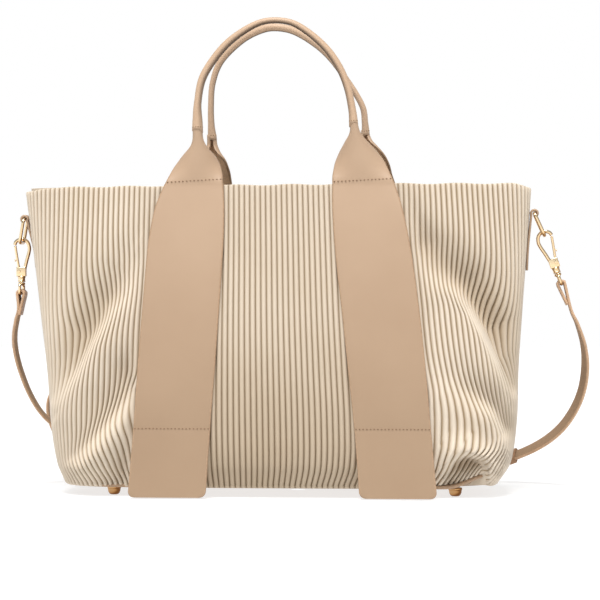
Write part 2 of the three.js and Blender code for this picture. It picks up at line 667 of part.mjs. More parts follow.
const eyeBars = {};
for (const [name, side] of Object.entries(sides)) {
  const lean = (degrees) => -THREE.MathUtils.degToRad(degrees) * side.sign;
  const hang = new THREE.Group();
  hang.position.set(side.barX * side.sign, 0, side.barZ);
  group.add(hang);
  addPiece(`side_tab_${name}`, mirrored(sideTab(side), side.sign), 'leather', hang);
  const ring = addPiece(`d_ring_${name}`,
    wireLoop(ringHalfWidth, ringLength, ringCorner, wireRadius), 'metal', hang);
  ring.rotation.y = lean(side.ringLean);
  const ringFoot = new THREE.Group();
  ringFoot.position.set(0, 0, -ringLength).applyEuler(ring.rotation);
  ringFoot.rotation.y = lean(side.hookLean);
  hang.add(ringFoot);
  const swivel = new THREE.Group();
  swivel.position.z = -hookReach;
  ringFoot.add(swivel);
  addPiece(`hook_${name}`, mirrored(fromSolid(hookSolid()), side.sign), 'metal', swivel);
  addPiece(`hook_gate_${name}`, mirrored(fromSolid(gateSolid()), side.sign), 'metal', swivel);
  addPiece(`swivel_eye_${name}`, fromSolid(eyeSolid()), 'metal', swivel);
  group.updateMatrixWorld(true);
  eyeBars[name] = swivel.localToWorld(at(0, 0, eye.bar));
}

// Shoulder strap: a flat ribbon that folds round the bar of each eye
const foldPlay = 0.5;
const foldRadius = eye.wire + foldPlay + shoulderThickness / 2;
const plyInset = { end: 0.5, middle: 0.75, middleAt: 0.45 };
const foldSteps = 5;

function strapEnd(bar, sign, first) {
  const away = at(first.x, 0, first.z).sub(bar).setY(0).normalize();
  const outward = at(-away.z * sign, 0, away.x * sign);
  if (outward.x * sign < 0) outward.negate();
  const spots = [];
  spots.push(bar.clone().addScaledVector(away, foldedPly)
    .addScaledVector(outward, -foldRadius * plyInset.end));
  spots.push(bar.clone().addScaledVector(away, foldedPly * plyInset.middleAt)
    .addScaledVector(outward, -foldRadius * plyInset.middle));
  for (let i = 0; i <= foldSteps; i += 1) {
    const angle = (i / foldSteps) * Math.PI;
    spots.push(bar.clone()
      .addScaledVector(outward, -foldRadius * Math.cos(angle))
      .addScaledVector(away, -foldRadius * Math.sin(angle)));
  }
  return spots.map((place) => ({ place, turn: 0 }));
}

function shoulderStations() {
  const rows = shoulderRows.map(({ x, y, z, turn }) => ({ place: at(x, y, z), turn }));
  const begin = strapEnd(eyeBars.left, -1, shoulderRows[0]);
  const end = strapEnd(eyeBars.right, 1, shoulderRows[shoulderRows.length - 1]).reverse();
  return [...begin, ...rows, ...end];
}

function ribbonFrame(stations, i) {
  const before = stations[Math.max(i - 1, 0)].place;
  const after = stations[Math.min(i + 1, stations.length - 1)].place;
  const tangent = new THREE.Vector3().subVectors(after, before).normalize();
  const level = at(0, 1, 0).addScaledVector(tangent, -tangent.y).normalize();
  const turn = THREE.MathUtils.degToRad(stations[i].turn);
  const across = level.applyAxisAngle(tangent, turn);
  return { across, square: new THREE.Vector3().crossVectors(tangent, across), tangent };
}

const rectangle = (place, across, square, halfWidth, halfThick) => [[-1, -1], [1, -1], [1, 1], [-1, 1]]
  .map(([a, b]) => place.clone().addScaledVector(across, a * halfWidth)
    .addScaledVector(square, b * halfThick));

const stations = shoulderStations();
addPiece('shoulder_strap', loft(stations.map(({ place }, i) => {
  const { across, square } = ribbonFrame(stations, i);
  return rectangle(place, across, square, shoulderWidth / 2, shoulderThickness / 2);
})), 'leather');

// Keeper: a band of leather round the shoulder strap
function keeper() {
  const index = stations.findIndex(({ place }) => place.x === keeperX);
  const { across, square, tangent } = ribbonFrame(stations, index);
  const ringAt = (along, grow) => rectangle(
    stations[index].place.clone().addScaledVector(tangent, along), across, square,
    shoulderWidth / 2 + grow, shoulderThickness / 2 + grow,
  );
  const outside = keeperPlay + keeperWall;
  const half = keeperLength / 2;
  return loft([
    ringAt(-half, keeperPlay), ringAt(-half, outside), ringAt(half, outside), ringAt(half, keeperPlay),
  ], true);
}

addPiece('strap_keeper', keeper(), 'leather');

// The origin is the middle of the whole bag's footprint, on the floor
const bounds = new THREE.Box3().setFromObject(group, true);
const footprint = bounds.getCenter(new THREE.Vector3()).setZ(bounds.min.z);
group.position.copy(footprint.negate());

export default group;
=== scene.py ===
import math
import bpy
import bmesh
import numpy as np
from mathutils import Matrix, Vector


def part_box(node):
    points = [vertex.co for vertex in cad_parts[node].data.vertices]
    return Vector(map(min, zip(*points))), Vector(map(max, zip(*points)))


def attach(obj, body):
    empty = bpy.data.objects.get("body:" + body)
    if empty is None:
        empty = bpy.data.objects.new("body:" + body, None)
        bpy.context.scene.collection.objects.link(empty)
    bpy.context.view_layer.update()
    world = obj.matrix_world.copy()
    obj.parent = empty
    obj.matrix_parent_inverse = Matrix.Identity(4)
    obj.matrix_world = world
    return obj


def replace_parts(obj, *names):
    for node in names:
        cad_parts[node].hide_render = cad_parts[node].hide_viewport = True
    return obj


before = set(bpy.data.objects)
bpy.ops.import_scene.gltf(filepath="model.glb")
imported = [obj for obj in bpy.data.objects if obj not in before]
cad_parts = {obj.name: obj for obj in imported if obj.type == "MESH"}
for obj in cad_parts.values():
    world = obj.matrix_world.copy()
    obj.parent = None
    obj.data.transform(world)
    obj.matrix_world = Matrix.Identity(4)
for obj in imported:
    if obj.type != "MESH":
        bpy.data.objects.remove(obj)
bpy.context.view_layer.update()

# everything below is drawn in millimetres in the bag's own axes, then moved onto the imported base
mm = 0.001
baseMiddleX = 1.5
baseLow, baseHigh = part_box("base_panel")
bagOrigin = np.array([(baseLow.x + baseHigh.x) / 2 - baseMiddleX * mm, (baseLow.y + baseHigh.y) / 2, 0.0])
rimHeight = 258.0
print("frame loaded, bag origin at", bagOrigin.round(4).tolist())


# small tools

def newMaterial(name):
    made = bpy.data.materials.new(name)
    made.use_nodes = True
    tree = made.node_tree
    return made, tree, tree.nodes["Principled BSDF"]


def addNode(tree, kind, **values):
    node = tree.nodes.new(kind)
    for key, value in values.items():
        if key in node.inputs:
            node.inputs[key].default_value = value
        else:
            setattr(node, key, value)
    return node


def noiseAt(tree, scale, detail=4.0, stretch=(1.0, 1.0, 1.0)):
    where = addNode(tree, "ShaderNodeTexCoord")
    place = addNode(tree, "ShaderNodeMapping", Scale=stretch)
    noise = addNode(tree, "ShaderNodeTexNoise", Scale=scale, Detail=detail)
    tree.links.new(where.outputs["Object"], place.inputs["Vector"])
    tree.links.new(place.outputs["Vector"], noise.inputs["Vector"])
    return noise


def colourRamp(tree, source, stops):
    ramp = addNode(tree, "ShaderNodeValToRGB")
    while len(ramp.color_ramp.elements) < len(stops):
        ramp.color_ramp.elements.new(0.5)
    for element, (place, colour) in zip(ramp.color_ramp.elements, stops):
        element.position = place
        element.color = (*colour, 1.0)
    tree.links.new(source, ramp.inputs["Fac"])
    return ramp.outputs["Color"]


def bumpFrom(tree, shader, layers):
    normal = None
    for height, strength, distance in layers:
        bump = addNode(tree, "ShaderNodeBump", Strength=strength, Distance=distance)
        tree.links.new(height, bump.inputs["Height"])
        if normal is not None:
            tree.links.new(normal, bump.inputs["Normal"])
        normal = bump.outputs["Normal"]
    tree.links.new(normal, shader.inputs["Normal"])


def blend(tree, factor, first, second, kind="MIX"):
    # each of the three is a socket or a fixed value
    node = addNode(tree, "ShaderNodeMix", data_type="RGBA", blend_type=kind)
    for key, value in (("Factor", factor), ("A", first), ("B", second)):
        if isinstance(value, bpy.types.NodeSocket):
            tree.links.new(value, node.inputs[key])
        else:
            node.inputs[key].default_value = value
    return node.outputs["Result"]


def rangeOf(tree, source, low, high):
    spread = addNode(tree, "ShaderNodeMapRange")
    spread.inputs["To Min"].default_value = low
    spread.inputs["To Max"].default_value = high
    tree.links.new(source, spread.inputs["Value"])
    return spread.outputs["Result"]


def table(columns, *rows):
    # rows of numbers under named columns
    return [dict(zip(columns.split(), row)) for row in rows]


def addObject(name, data):
    made = bpy.data.objects.new(name, data)
    bpy.context.scene.collection.objects.link(made)
    return made


def makeObject(name, points, faces, materials, body="bag", faceMaterials=None):
    mesh = bpy.data.meshes.new(name)
    mesh.from_pydata((np.asarray(points) * mm + bagOrigin).tolist(), [], faces)
    for material in materials:
        mesh.materials.append(material)
    if faceMaterials is not None:
        mesh.polygons.foreach_set("material_index", np.asarray(faceMaterials, dtype=np.int32))
    mesh.polygons.foreach_set("use_smooth", np.full(len(mesh.polygons), True))
    mesh.update()
    made = addObject(name, mesh)
    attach(made, body)
    return made


def readColumn(rows, key, column, at):
    last = len(rows) - 1
    i = 0
    while i < last - 1 and at > rows[i + 1][key]:
        i += 1
    span = rows[i + 1][key] - rows[i][key]
    t = min(max((at - rows[i][key]) / span, 0.0), 1.0)

    def slope(a, b):
        return (rows[b][column] - rows[a][column]) / (rows[b][key] - rows[a][key])

    m0 = slope(max(i - 1, 0), i + 1) * span
    m1 = slope(i, min(i + 2, last)) * span
    return (rows[i][column] * (2 * t**3 - 3 * t**2 + 1) + m0 * (t**3 - 2 * t**2 + t)
            + rows[i + 1][column] * (3 * t**2 - 2 * t**3) + m1 * (t**3 - t**2))


def smoothStep(value, low, high):
    t = np.clip((value - low) / (high - low), 0.0, 1.0)
    return t * t * (3 - 2 * t)


def unit(vector):
    return vector / np.linalg.norm(vector)


def smoothPath(points, steps):
    # Catmull-Rom through the given points, evenly stepped along its length
    points = np.asarray(points, float)
    padded = np.vstack([2 * points[0] - points[1], points, 2 * points[-1] - points[-2]])
    fine = []
    for i in range(1, len(padded) - 2):
        p0, p1, p2, p3 = padded[i - 1:i + 3]
        for t in np.linspace(0, 1, 24, endpoint=False):
            fine.append(0.5 * (2 * p1 + (p2 - p0) * t + (2 * p0 - 5 * p1 + 4 * p2 - p3) * t**2
                               + (3 * p1 - p0 - 3 * p2 + p3) * t**3))
    fine.append(points[-1])
    fine = np.array(fine)
    along = np.concatenate([[0], np.cumsum(np.linalg.norm(np.diff(fine[:, :3], axis=0), axis=1))])
    places = np.linspace(0, along[-1], steps)
    return np.stack([np.interp(places, along, fine[:, k]) for k in range(fine.shape[1])], 1)


def tangentAt(path, i):
    return unit(path[min(i + 1, len(path) - 1), :3] - path[max(i - 1, 0), :3])


def skinRings(rings, closedAlong=False, capEnds=True):
    # quads over rings of equal count, each ring closed round itself
    rings = np.asarray(rings, float)
    rows, count = rings.shape[:2]
    index = np.arange(rows * count).reshape(rows, count)
    low = index if closedAlong else index[:-1]
    high = np.roll(index, -1, 0) if closedAlong else index[1:]
    quads = np.stack([low, np.roll(low, -1, 1), np.roll(high, -1, 1), high], -1).reshape(-1, 4)
    faces = quads.tolist()
    if capEnds and not closedAlong:
        faces.append(index[0][::-1].tolist())
        faces.append(index[-1].tolist())
    return rings.reshape(-1, 3), faces


def joinParts(parts):
    points = []
    faces = []
    start = 0
    for some, more in parts:
        points.append(np.asarray(some, float))
        faces += [[start + i for i in face] for face in more]
        start += len(some)
    return np.concatenate(points), faces


def setAttribute(made, name, values):
    made.data.attributes.new(name, "FLOAT", "POINT").data.foreach_set("value", values)


def outwards(made):
    work = bmesh.new()
    work.from_mesh(made.data)
    bmesh.ops.recalc_face_normals(work, faces=work.faces)
    work.to_mesh(made.data)
    work.free()
    return made


# finishes

# groove is the painted shade colour of the rib grooves; shade is the painted shade of deep folds and of the
# wall low between the straps
clothLook = {
    "lit": (0.695, 0.605, 0.495), "warm": (0.65, 0.555, 0.44), "groove": (0.315, 0.222, 0.122),
    "shade": (0.69, 0.64, 0.57), "cloudScale": 14.0, "fibreScale": 1800.0, "knitScale": 420.0,
    "rough": (0.68, 0.86), "insideGrooveShade": 0.3, "grooveShadeFalloff": 1.15,
}


def ribbedCloth():
    made, tree, shader = newMaterial("ribbedCloth")
    broad = noiseAt(tree, clothLook["cloudScale"], 3.0)
    colour = colourRamp(tree, broad.outputs["Fac"], [(0.3, clothLook["warm"]), (0.62, clothLook["lit"])])
    # painted shade: the groove attribute darkens the rib grooves
    deep = addNode(tree, "ShaderNodeAttribute", attribute_name="groove")
    colour = blend(tree, deep.outputs["Fac"], colour, (*clothLook["groove"], 1.0))
    # painted shade: the shade attribute darkens deep folds and the wall low between the straps
    paintedShade = addNode(tree, "ShaderNodeAttribute", attribute_name="shade")
    colour = blend(tree, paintedShade.outputs["Fac"], colour, (*clothLook["shade"], 1.0), "MULTIPLY")
    tree.links.new(colour, shader.inputs["Base Color"])
    fibre = noiseAt(tree, clothLook["fibreScale"], 2.0, (1.0, 1.0, 0.35))
    knit = noiseAt(tree, clothLook["knitScale"], 3.0, (1.0, 1.0, 0.5))
    tree.links.new(rangeOf(tree, knit.outputs["Fac"], *clothLook["rough"]), shader.inputs["Roughness"])
    bumpFrom(tree, shader, [(fibre.outputs["Fac"], 0.25, 0.0002), (knit.outputs["Fac"], 0.2, 0.0003)])
    shader.inputs["Sheen Weight"].default_value = 0.15
    shader.inputs["Sheen Roughness"].default_value = 0.5
    shader.inputs["Specular IOR Level"].default_value = 0.3
    return made


leatherLook = {
    "light": (0.466, 0.323, 0.216), "dark": (0.433, 0.295, 0.194), "edge": (0.42, 0.275, 0.17),
    # the inside colour is a paler copy of the flesh side: painted light for the straps' inner faces
    "flesh": (0.40, 0.26, 0.155), "paleEdge": (0.62, 0.40, 0.245), "inside": (0.78, 0.55, 0.36),
    # the seam colour is the handle's dark inked edge together with painted shade under its arch
    "seamInkAndShade": (0.055, 0.03, 0.016), "thread": (0.25, 0.15, 0.08), "low": (0.80, 0.785, 0.745),
    # the low tint and these two heights set painted shade that darkens the leather towards the floor
    "lowHeight": 0.06, "fullHeight": 0.25, "cloudScale": 9.0, "pebbleScale": 1300.0, "poreScale": 2600.0,
    "creaseScale": 160.0, "rough": (0.42, 0.56),
}


def shadedBelow(tree, colour):
    # painted shade: the tone darkens from the rim down to the floor, where less of the light from above
    # reaches
    where = addNode(tree, "ShaderNodeTexCoord")
    split = addNode(tree, "ShaderNodeSeparateXYZ")
    tree.links.new(where.outputs["Object"], split.inputs["Vector"])
    height = rangeOf(tree, split.outputs["Z"], 0.0, 1.0)
    height.node.inputs["From Min"].default_value = leatherLook["lowHeight"]
    height.node.inputs["From Max"].default_value = leatherLook["fullHeight"]
    tint = colourRamp(tree, height, [(0.0, leatherLook["low"]), (1.0, (1.0, 1.0, 1.0))])
    return blend(tree, 1.0, colour, tint, "MULTIPLY")


def tanLeather(name, tint=1.0, grain=1.0, seamInkAndShade=False):
    made, tree, shader = newMaterial(name)
    cloud = noiseAt(tree, leatherLook["cloudScale"], 4.0)
    light = tuple(np.multiply(leatherLook["light"], tint))
    dark = tuple(np.multiply(leatherLook["dark"], tint))
    colour = shadedBelow(tree, colourRamp(tree, cloud.outputs["Fac"], [(0.35, dark), (0.65, light)]))
    # painted shade with the inked edge along the handle's seam
    if seamInkAndShade:
        seam = addNode(tree, "ShaderNodeAttribute", attribute_name="seam")
        colour = blend(tree, seam.outputs["Fac"], colour, (*leatherLook["seamInkAndShade"], 1.0))
    tree.links.new(colour, shader.inputs["Base Color"])
    where = addNode(tree, "ShaderNodeTexCoord")
    pebble = addNode(tree, "ShaderNodeTexVoronoi", Scale=leatherLook["pebbleScale"])
    pebble.feature = "DISTANCE_TO_EDGE"
    tree.links.new(where.outputs["Object"], pebble.inputs["Vector"])
    pores = noiseAt(tree, leatherLook["poreScale"], 2.0)
    creases = noiseAt(tree, leatherLook["creaseScale"], 5.0)
    tree.links.new(rangeOf(tree, creases.outputs["Fac"], *leatherLook["rough"]), shader.inputs["Roughness"])
    bumpFrom(tree, shader, [(pebble.outputs["Distance"], 0.06 * grain, 0.0002),
                            (pores.outputs["Fac"], 0.05 * grain, 0.0002),
                            (creases.outputs["Fac"], 0.04 * grain, 0.0005)])
    shader.inputs["Specular IOR Level"].default_value = 0.4
    return made


def plainFinish(name, colour, roughness, scale):
    made, tree, shader = newMaterial(name)
    speckle = noiseAt(tree, scale, 3.0)
    darker = tuple(c * 0.82 for c in colour)
    tree.links.new(colourRamp(tree, speckle.outputs["Fac"], [(0.35, darker), (0.65, colour)]),
                   shader.inputs["Base Color"])
    bumpFrom(tree, shader, [(speckle.outputs["Fac"], 0.3, 0.0002)])
    shader.inputs["Roughness"].default_value = roughness
    return made


# the gold tones run from painted shade to painted light, by how far a face turns towards the given light
# direction
goldLook = {
    "shadeToLightTones": [(0.0, (0.36, 0.19, 0.075)), (0.32, (0.89, 0.62, 0.33)), (0.7, (0.97, 0.80, 0.54))],
    "bright": (-0.45, -0.55, 0.7), "fineScale": 900.0, "rough": (0.12, 0.24), "footShadeTint": (0.62, 0.48, 0.36),
}


def paleGold(name, tint=1.0):
    made, tree, shader = newMaterial(name)
    # painted light and shade: the gold is paler on faces turned towards the studio's light and deeper on
    # faces turned away from it
    normal = addNode(tree, "ShaderNodeNewGeometry")
    lit = addNode(tree, "ShaderNodeVectorMath", operation="DOT_PRODUCT")
    lit.inputs[1].default_value = goldLook["bright"]
    tree.links.new(normal.outputs["Normal"], lit.inputs[0])
    stops = [(at, tuple(np.multiply(tone, tint))) for at, tone in goldLook["shadeToLightTones"]]
    tree.links.new(colourRamp(tree, lit.outputs["Value"], stops), shader.inputs["Base Color"])
    fine = noiseAt(tree, goldLook["fineScale"], 2.0)
    tree.links.new(rangeOf(tree, fine.outputs["Fac"], *goldLook["rough"]), shader.inputs["Roughness"])
    shader.inputs["Metallic"].default_value = 1.0
    return made


cloth = ribbedCloth()
leather = tanLeather("tanLeather")
strapLeather = tanLeather("strapLeather", 0.97)
handleLeather = tanLeather("handleLeather", 1.16, 0.1, True)
shoulderLeather = tanLeather("shoulderLeather", (0.92, 0.77, 0.64))
shoulderEdge = plainFinish("shoulderEdge", leatherLook["paleEdge"], 0.6, 500.0)
edgePaint = plainFinish("edgePaint", leatherLook["edge"], 0.5, 500.0)
fleshSide = plainFinish("fleshSide", leatherLook["flesh"], 0.85, 900.0)
# a paler copy of the flesh side: painted light for the straps' inner faces, which lie in shade
strapInsideLit = plainFinish("strapInsideLit", leatherLook["inside"], 0.85, 900.0)
threadTan = plainFinish("threadTan", leatherLook["thread"], 0.7, 3000.0)
gold = paleGold("paleGold")
# the feet's gold is darkened for painted shade under the bag, and warmed in hue
footGold = paleGold("footGold", goldLook["footShadeTint"])
print("finishes ready")


# body wall: rounded sections from the base up, slump folds, and upright ribs

# a line of rows moves the wall: how far, and how wide it reaches below and above the line
lineColumns = "x z move near far"
wall = {
    "ribs": 208, "ribDepth": 3.0, "thickness": 1.6, "fineLevels": 27, "fineBelow": 62.0, "levels": 52,
    "innerLevels": 30, "innerReach": 9.0, "innerReads": 5, "outlineSteps": 720, "pullSteps": 3000,
    "backShare": 0.27, "rimTilt": 0.006, "rimWave": 0.5, "rimWaveLength": 46.0, "rimFrom": 150.0,
    "dragReach": 1.35, "endDrop": 3.0, "endReach": (196, 216), "sharper": 0.9, "sharpReach": (95, 150),
    "foldShadeDepth": 17.0, "shadeReach": (95, 135), "shadeHeights": (30, 190), "shadeLoss": 0.6,
    "stillAbove": 222.0, "facing": (4, 42), "pullFacing": (-40, 30), "foldFoot": (4, 20),
    "creaseFoot": (0, 13), "seamFade": (-2, 9), "seamFoot": 57.0, "crowded": (0.15, 0.75),
    "cornerRise": 9.5, "cornerReach": (142, 176), "cornerFall": (169, 178), "cornerHeights": (10, 40),
    "frontEdge": (20, 60), "bareFrom": (118, 134), "bareTo": (172, 178),
    "noseCurl": 1.6, "noseReach": (160, 180), "noseFront": (10, 50),
    "curl": [(3.1, 5.0), (2.9, 3.0), (2.0, 1.2), (1.0, 0.3)],
    "rimRoll": [(0.9, -0.5, 0.95), (1.3, -1.7, 0.8), (0.9, -3.0, 0.55), (-1.0, -4.4, 0.1)],
    "ribShape": [(0.0, 0.0), (0.075, 0.46), (0.21, 0.86), (0.5, 1.0), (0.79, 0.86), (0.925, 0.46)],
    "backShape": [(0.0, 0.0), (0.14, 0.68), (0.5, 1.0), (0.86, 0.68)],
    "seamEdge": {"left": (116.0, 0.045), "right": (130.0, 0.115)},
    "sections": table(
        "z left right front back square",
        (10.6, 181, 184, 74, 74, 4.6), (26, 187, 194, 82, 82, 4.4), (60, 193, 199.5, 82, 82, 4.0),
        (104, 197.5, 201, 76, 76, 3.6), (150, 204, 204, 66, 66, 3.2), (204, 211.2, 208, 53, 53, 2.9),
        (rimHeight, 218.5, 211.8, 40, 40, 2.7)),
    "folds": table(
        "side x0 z0 x1 z1 lift wide thin drag",
        (-1, 112, 238, 121, 212, -4, 11, 13, -1), (1, -140, 180, -182, 84, 6, 18, 18, -4),
        (1, 140, 174, 184, 88, 6, 18, 18, 4), (1, 122, 84, 176, 30, 5, 16, 16, 3),
        (1, -118, 88, -172, 34, 5, 16, 16, -3)),
    # each front corner has two bulges that hang over the creases above them, the right one a pouch as well
    "creases": [
        table(lineColumns,
              (-185, 84, -3, 9, 16), (-170, 106, -9, 8, 20), (-156, 134, -13, 8, 21),
              (-143, 160, -11, 10, 21), (-126, 194, -4, 14, 20)),
        table(lineColumns,
              (-177, 74, 4, 20, 8), (-160, 98, 6, 20, 8), (-147, 124, 7, 20, 8), (-133, 150, 4, 18, 9)),
        table(lineColumns,
              (-164, 36, -2, 8, 14), (-147, 52, -5, 8, 18), (-131, 73, -9, 8, 22),
              (-115, 96, -11, 10, 24)),
        table(lineColumns,
              (-160, 24, 4, 12, 8), (-146, 39, 6, 14, 8), (-132, 57, 6, 14, 8), (-116, 78, 4, 14, 9)),
        table(lineColumns,
              (-136, 12, -5, 12, 12), (-120, 22, -9, 14, 14)),
        table(lineColumns,
              (112, 214, -3, 14, 16), (134, 196, -8, 14, 19), (156, 174, -14, 8, 21),
              (176, 138, -17, 6, 21), (197, 90, -8, 6, 16)),
        table(lineColumns,
              (122, 180, 1, 22, 12), (149, 165, 4, 22, 7), (168, 132, 6, 22, 6), (189, 86, 5, 18, 6)),
        table(lineColumns,
              (150, 96, -2, 14, 14), (180, 77, -9, 7, 13), (191, 56, -10, 5, 12), (195, 39, -3, 5, 10)),
        table(lineColumns,
              (140, 85, 2, 18, 14), (160, 77, 4, 18, 9), (177, 64, 7, 18, 6), (186, 46, 6, 14, 6)),
        table(lineColumns,
              (143, 30, 3, 4, 11), (150, 37, 6, 4, 11), (157, 40, 8, 4, 11), (164, 37, 8, 4, 11),
              (172, 33, 7, 4, 11), (182, 27, 5, 4, 9)),
        table(lineColumns,
              (144, 19, -8, 11, 4), (150, 27, -14, 13, 4), (157, 30, -15, 13, 4), (164, 27, -14, 12, 4),
              (171, 23, -9, 8, 4)),
        table(lineColumns,
              (177, 19, 11, 7, 7), (182, 15, 8, 8, 7)),
    ],
    "pulls": [
        {"fade": (6, 24), "rows": table(
            lineColumns,
            (-187, 78, 3, 10, 20), (-172, 101, 8, 9, 24), (-158, 130, 12, 9, 25),
            (-146, 156, 8, 16, 24), (-130, 188, 2, 22, 22))},
        {"fade": (12, 36), "rows": table(
            lineColumns,
            (-168, 27, -3, 14, 9), (-150, 45, -6, 17, 9), (-134, 63, -8, 18, 9), (-117, 86, -5, 18, 11))},
        {"fade": (22, 42), "rows": table(
            lineColumns,
            (128, 206, -1, 20, 20), (146, 186, -5, 19, 22), (156, 173, -9, 13, 23),
            (165, 156, -15, 7, 24), (175, 136, -20, 5, 25), (185, 114, -16, 5, 23),
            (193, 96, -7, 6, 20), (198, 84, -2, 8, 16))},
        {"fade": (22, 42), "rows": table(
            lineColumns,
            (138, 86, 3, 24, 22), (156, 76, 7, 34, 16), (172, 65, 11, 40, 11), (185, 50, 14, 40, 8),
            (191, 38, 10, 30, 7))},
    ],
}


def sectionOutline(z):
    def read(column):
        return readColumn(wall["sections"], "z", column, z)
    power = 2 / read("square")
    half = (read("left") + read("right")) / 2
    middle = (read("right") - read("left")) / 2
    angle = np.linspace(0, 2 * math.pi, wall["outlineSteps"] + 1)
    s = np.sin(angle)
    c = np.cos(angle)
    depth = np.where(c > 0, read("front"), read("back"))
    x = middle + half * np.sign(s) * np.abs(s) ** power
    y = -depth * np.sign(c) * np.abs(c) ** power
    return x, y, np.concatenate([[0], np.cumsum(np.hypot(np.diff(x), np.diff(y)))])


def evenColumns(z, shares):
    # points at shares of the outline's length from the middle of the front, with outward normals
    x, y, along = sectionOutline(z)
    target = (np.asarray(shares) % 1.0) * along[-1]
    px = np.interp(target, along, x)
    py = np.interp(target, along, y)
    step = 2.0
    ahead = (target + step) % along[-1]
    behind = (target - step) % along[-1]
    tx = np.interp(ahead, along, x) - np.interp(behind, along, x)
    ty = np.interp(ahead, along, y) - np.interp(behind, along, y)
    length = np.hypot(tx, ty)
    return px, py, ty / length, -tx / length


def foldReach(fold, x, z):
    # distance from a fold's line as a share of its width
    ax = fold["x1"] - fold["x0"]
    az = fold["z1"] - fold["z0"]
    t = np.clip(((x - fold["x0"]) * ax + (z - fold["z0"]) * az) / (ax * ax + az * az), 0, 1)
    away = np.hypot(x - fold["x0"] - ax * t, z - fold["z0"] - az * t)
    return away / (fold["wide"] + (fold["thin"] - fold["wide"]) * t)


def lineSwell(line, x, z):
    # a swell along a line of rows, with one width above and right of it and another below and left
    nearest = np.full_like(x, 1e6)
    width = np.ones_like(x)
    height = np.zeros_like(x)
    for a, b in zip(line, line[1:]):
        ax = b["x"] - a["x"]
        az = b["z"] - a["z"]
        t = np.clip(((x - a["x"]) * ax + (z - a["z"]) * az) / (ax * ax + az * az), 0, 1)
        away = np.hypot(x - a["x"] - ax * t, z - a["z"] - az * t)
        above = ax * (z - a["z"]) > az * (x - a["x"])
        closer = away < nearest
        nearest = np.where(closer, away, nearest)
        far = a["far"] + (b["far"] - a["far"]) * t
        near = a["near"] + (b["near"] - a["near"]) * t
        width = np.where(closer, np.where(above, far, near), width)
        height = np.where(closer, a["move"] + (b["move"] - a["move"]) * t, height)
    return height * np.exp(-(nearest / width) ** 2)


def foldPush(x, y, z):
    push = np.zeros_like(x)
    for fold in wall["folds"]:
        facing = smoothStep(y * fold["side"], *wall["facing"])
        push += fold["side"] * fold["lift"] * facing * np.exp(-foldReach(fold, x, z) ** 2)
    push = push * smoothStep(z, *wall["foldFoot"])
    for line in wall["creases"]:
        push -= smoothStep(-y, *wall["facing"]) * lineSwell(line, x, z) * smoothStep(z, *wall["creaseFoot"])
    # no fold runs in behind a strap or at the rim
    seams = 1 - smoothStep(z, wall["stillAbove"], rimHeight)
    edge = np.where(x < 0, *[at - slope * (z - wall["seamFoot"]) for at, slope in wall["seamEdge"].values()])
    return push * seams * smoothStep(np.abs(x) - edge, *wall["seamFade"])


def foldPull(x, y, z):
    pull = np.zeros_like(x)
    for fold in wall["folds"]:
        facing = smoothStep(y * fold["side"], *wall["facing"])
        reach = foldReach(fold, x, z) / wall["dragReach"]
        pull -= fold["side"] * fold["drag"] * facing * np.exp(-reach ** 2) * smoothStep(z, *wall["foldFoot"])
    facing = smoothStep(-y, *wall["pullFacing"])
    for line in wall["pulls"]:
        pull += facing * lineSwell(line["rows"], x, z) * smoothStep(z, *line["fade"])
    return pull * (1 - smoothStep(z, wall["stillAbove"], rimHeight))


def ribPlaces(z, shares):
    # the folds pull the ribs along the wall; says where each column goes and how much room it has left
    grid = np.linspace(-0.5, 0.5, wall["pullSteps"])
    x, y, nx, ny = evenColumns(z, grid)
    start = np.maximum.accumulate(grid - foldPull(x, y, z) / sectionOutline(z)[2][-1])
    half = 0.5 / wall["ribs"]
    low, place, high = [np.interp((shares + move + 0.5) % 1 - 0.5, start, grid)
                        for move in (-half, 0, half)]
    room = ((high - low + 0.5) % 1 - 0.5) / (2 * half)
    return place, smoothStep(room, *wall["crowded"])


def cornerRise(x, y):
    # the front right corner of the base curls up off the floor
    return wall["cornerRise"] * smoothStep(x, *wall["cornerReach"]) * smoothStep(-y, *wall["frontEdge"])


def baseBare(x, y):
    # how far the base's edge shows under the wall there
    along = smoothStep(x, *wall["bareFrom"]) * (1 - smoothStep(x, *wall["bareTo"]))
    return along * smoothStep(-y, *wall["frontEdge"])


def wallRing(z, shares, relief, inset=0.0):
    # ribs lie down where folds crowd them
    place, room = ribPlaces(z, shares)
    x, y, nx, ny = evenColumns(z, place)
    # the rim is not quite level: it climbs to the right and waves a little
    rim = smoothStep(z, wall["rimFrom"], rimHeight)
    up = rim * (wall["rimTilt"] * x + wall["rimWave"] * np.sin(x / wall["rimWaveLength"] * 2 * math.pi) - 1)
    up -= rim * wall["endDrop"] * smoothStep(np.abs(x), *wall["endReach"])
    fall = 1 - smoothStep(x, *wall["cornerFall"])
    up += cornerRise(x, y) * fall * (1 - smoothStep(z, *wall["cornerHeights"]))
    offset = relief * room + inset
    push = foldPush(x, y, z)
    ring = np.stack([x + nx * offset, y + push + ny * offset, z + up], 1)
    # the third value, how far a fold pushes in, sets its painted shade
    return ring, room, np.clip(-push * np.sign(y) / wall["foldShadeDepth"], 0, 1)


def innerRing(z, shares, inset):
    # the inner face keeps inside the folds of the heights just above and below
    x, y, nx, ny = evenColumns(z, ribPlaces(z, shares)[0])
    bottom = wall["sections"][0]["z"]
    reach = np.linspace(-1, 1, wall["innerReads"]) * wall["innerReach"]
    heights = np.clip(z + reach, bottom, rimHeight)
    pushes = [foldPush(x, y, h) for h in heights]
    push = np.where(y < 0, np.max(pushes, 0), np.min(pushes, 0))
    return np.stack([x + nx * inset, y + push + ny * inset, np.full_like(x, z - 1)], 1)


def ribColumns():
    shares = []
    height = []
    for rib in range(wall["ribs"]):
        back = wall["backShare"] < rib / wall["ribs"] < 1 - wall["backShare"]
        for at, high in wall["backShape"] if back else wall["ribShape"]:
            shares.append((rib + at - 0.5) / wall["ribs"])
            height.append(high)
    return np.array(shares), np.array(height)


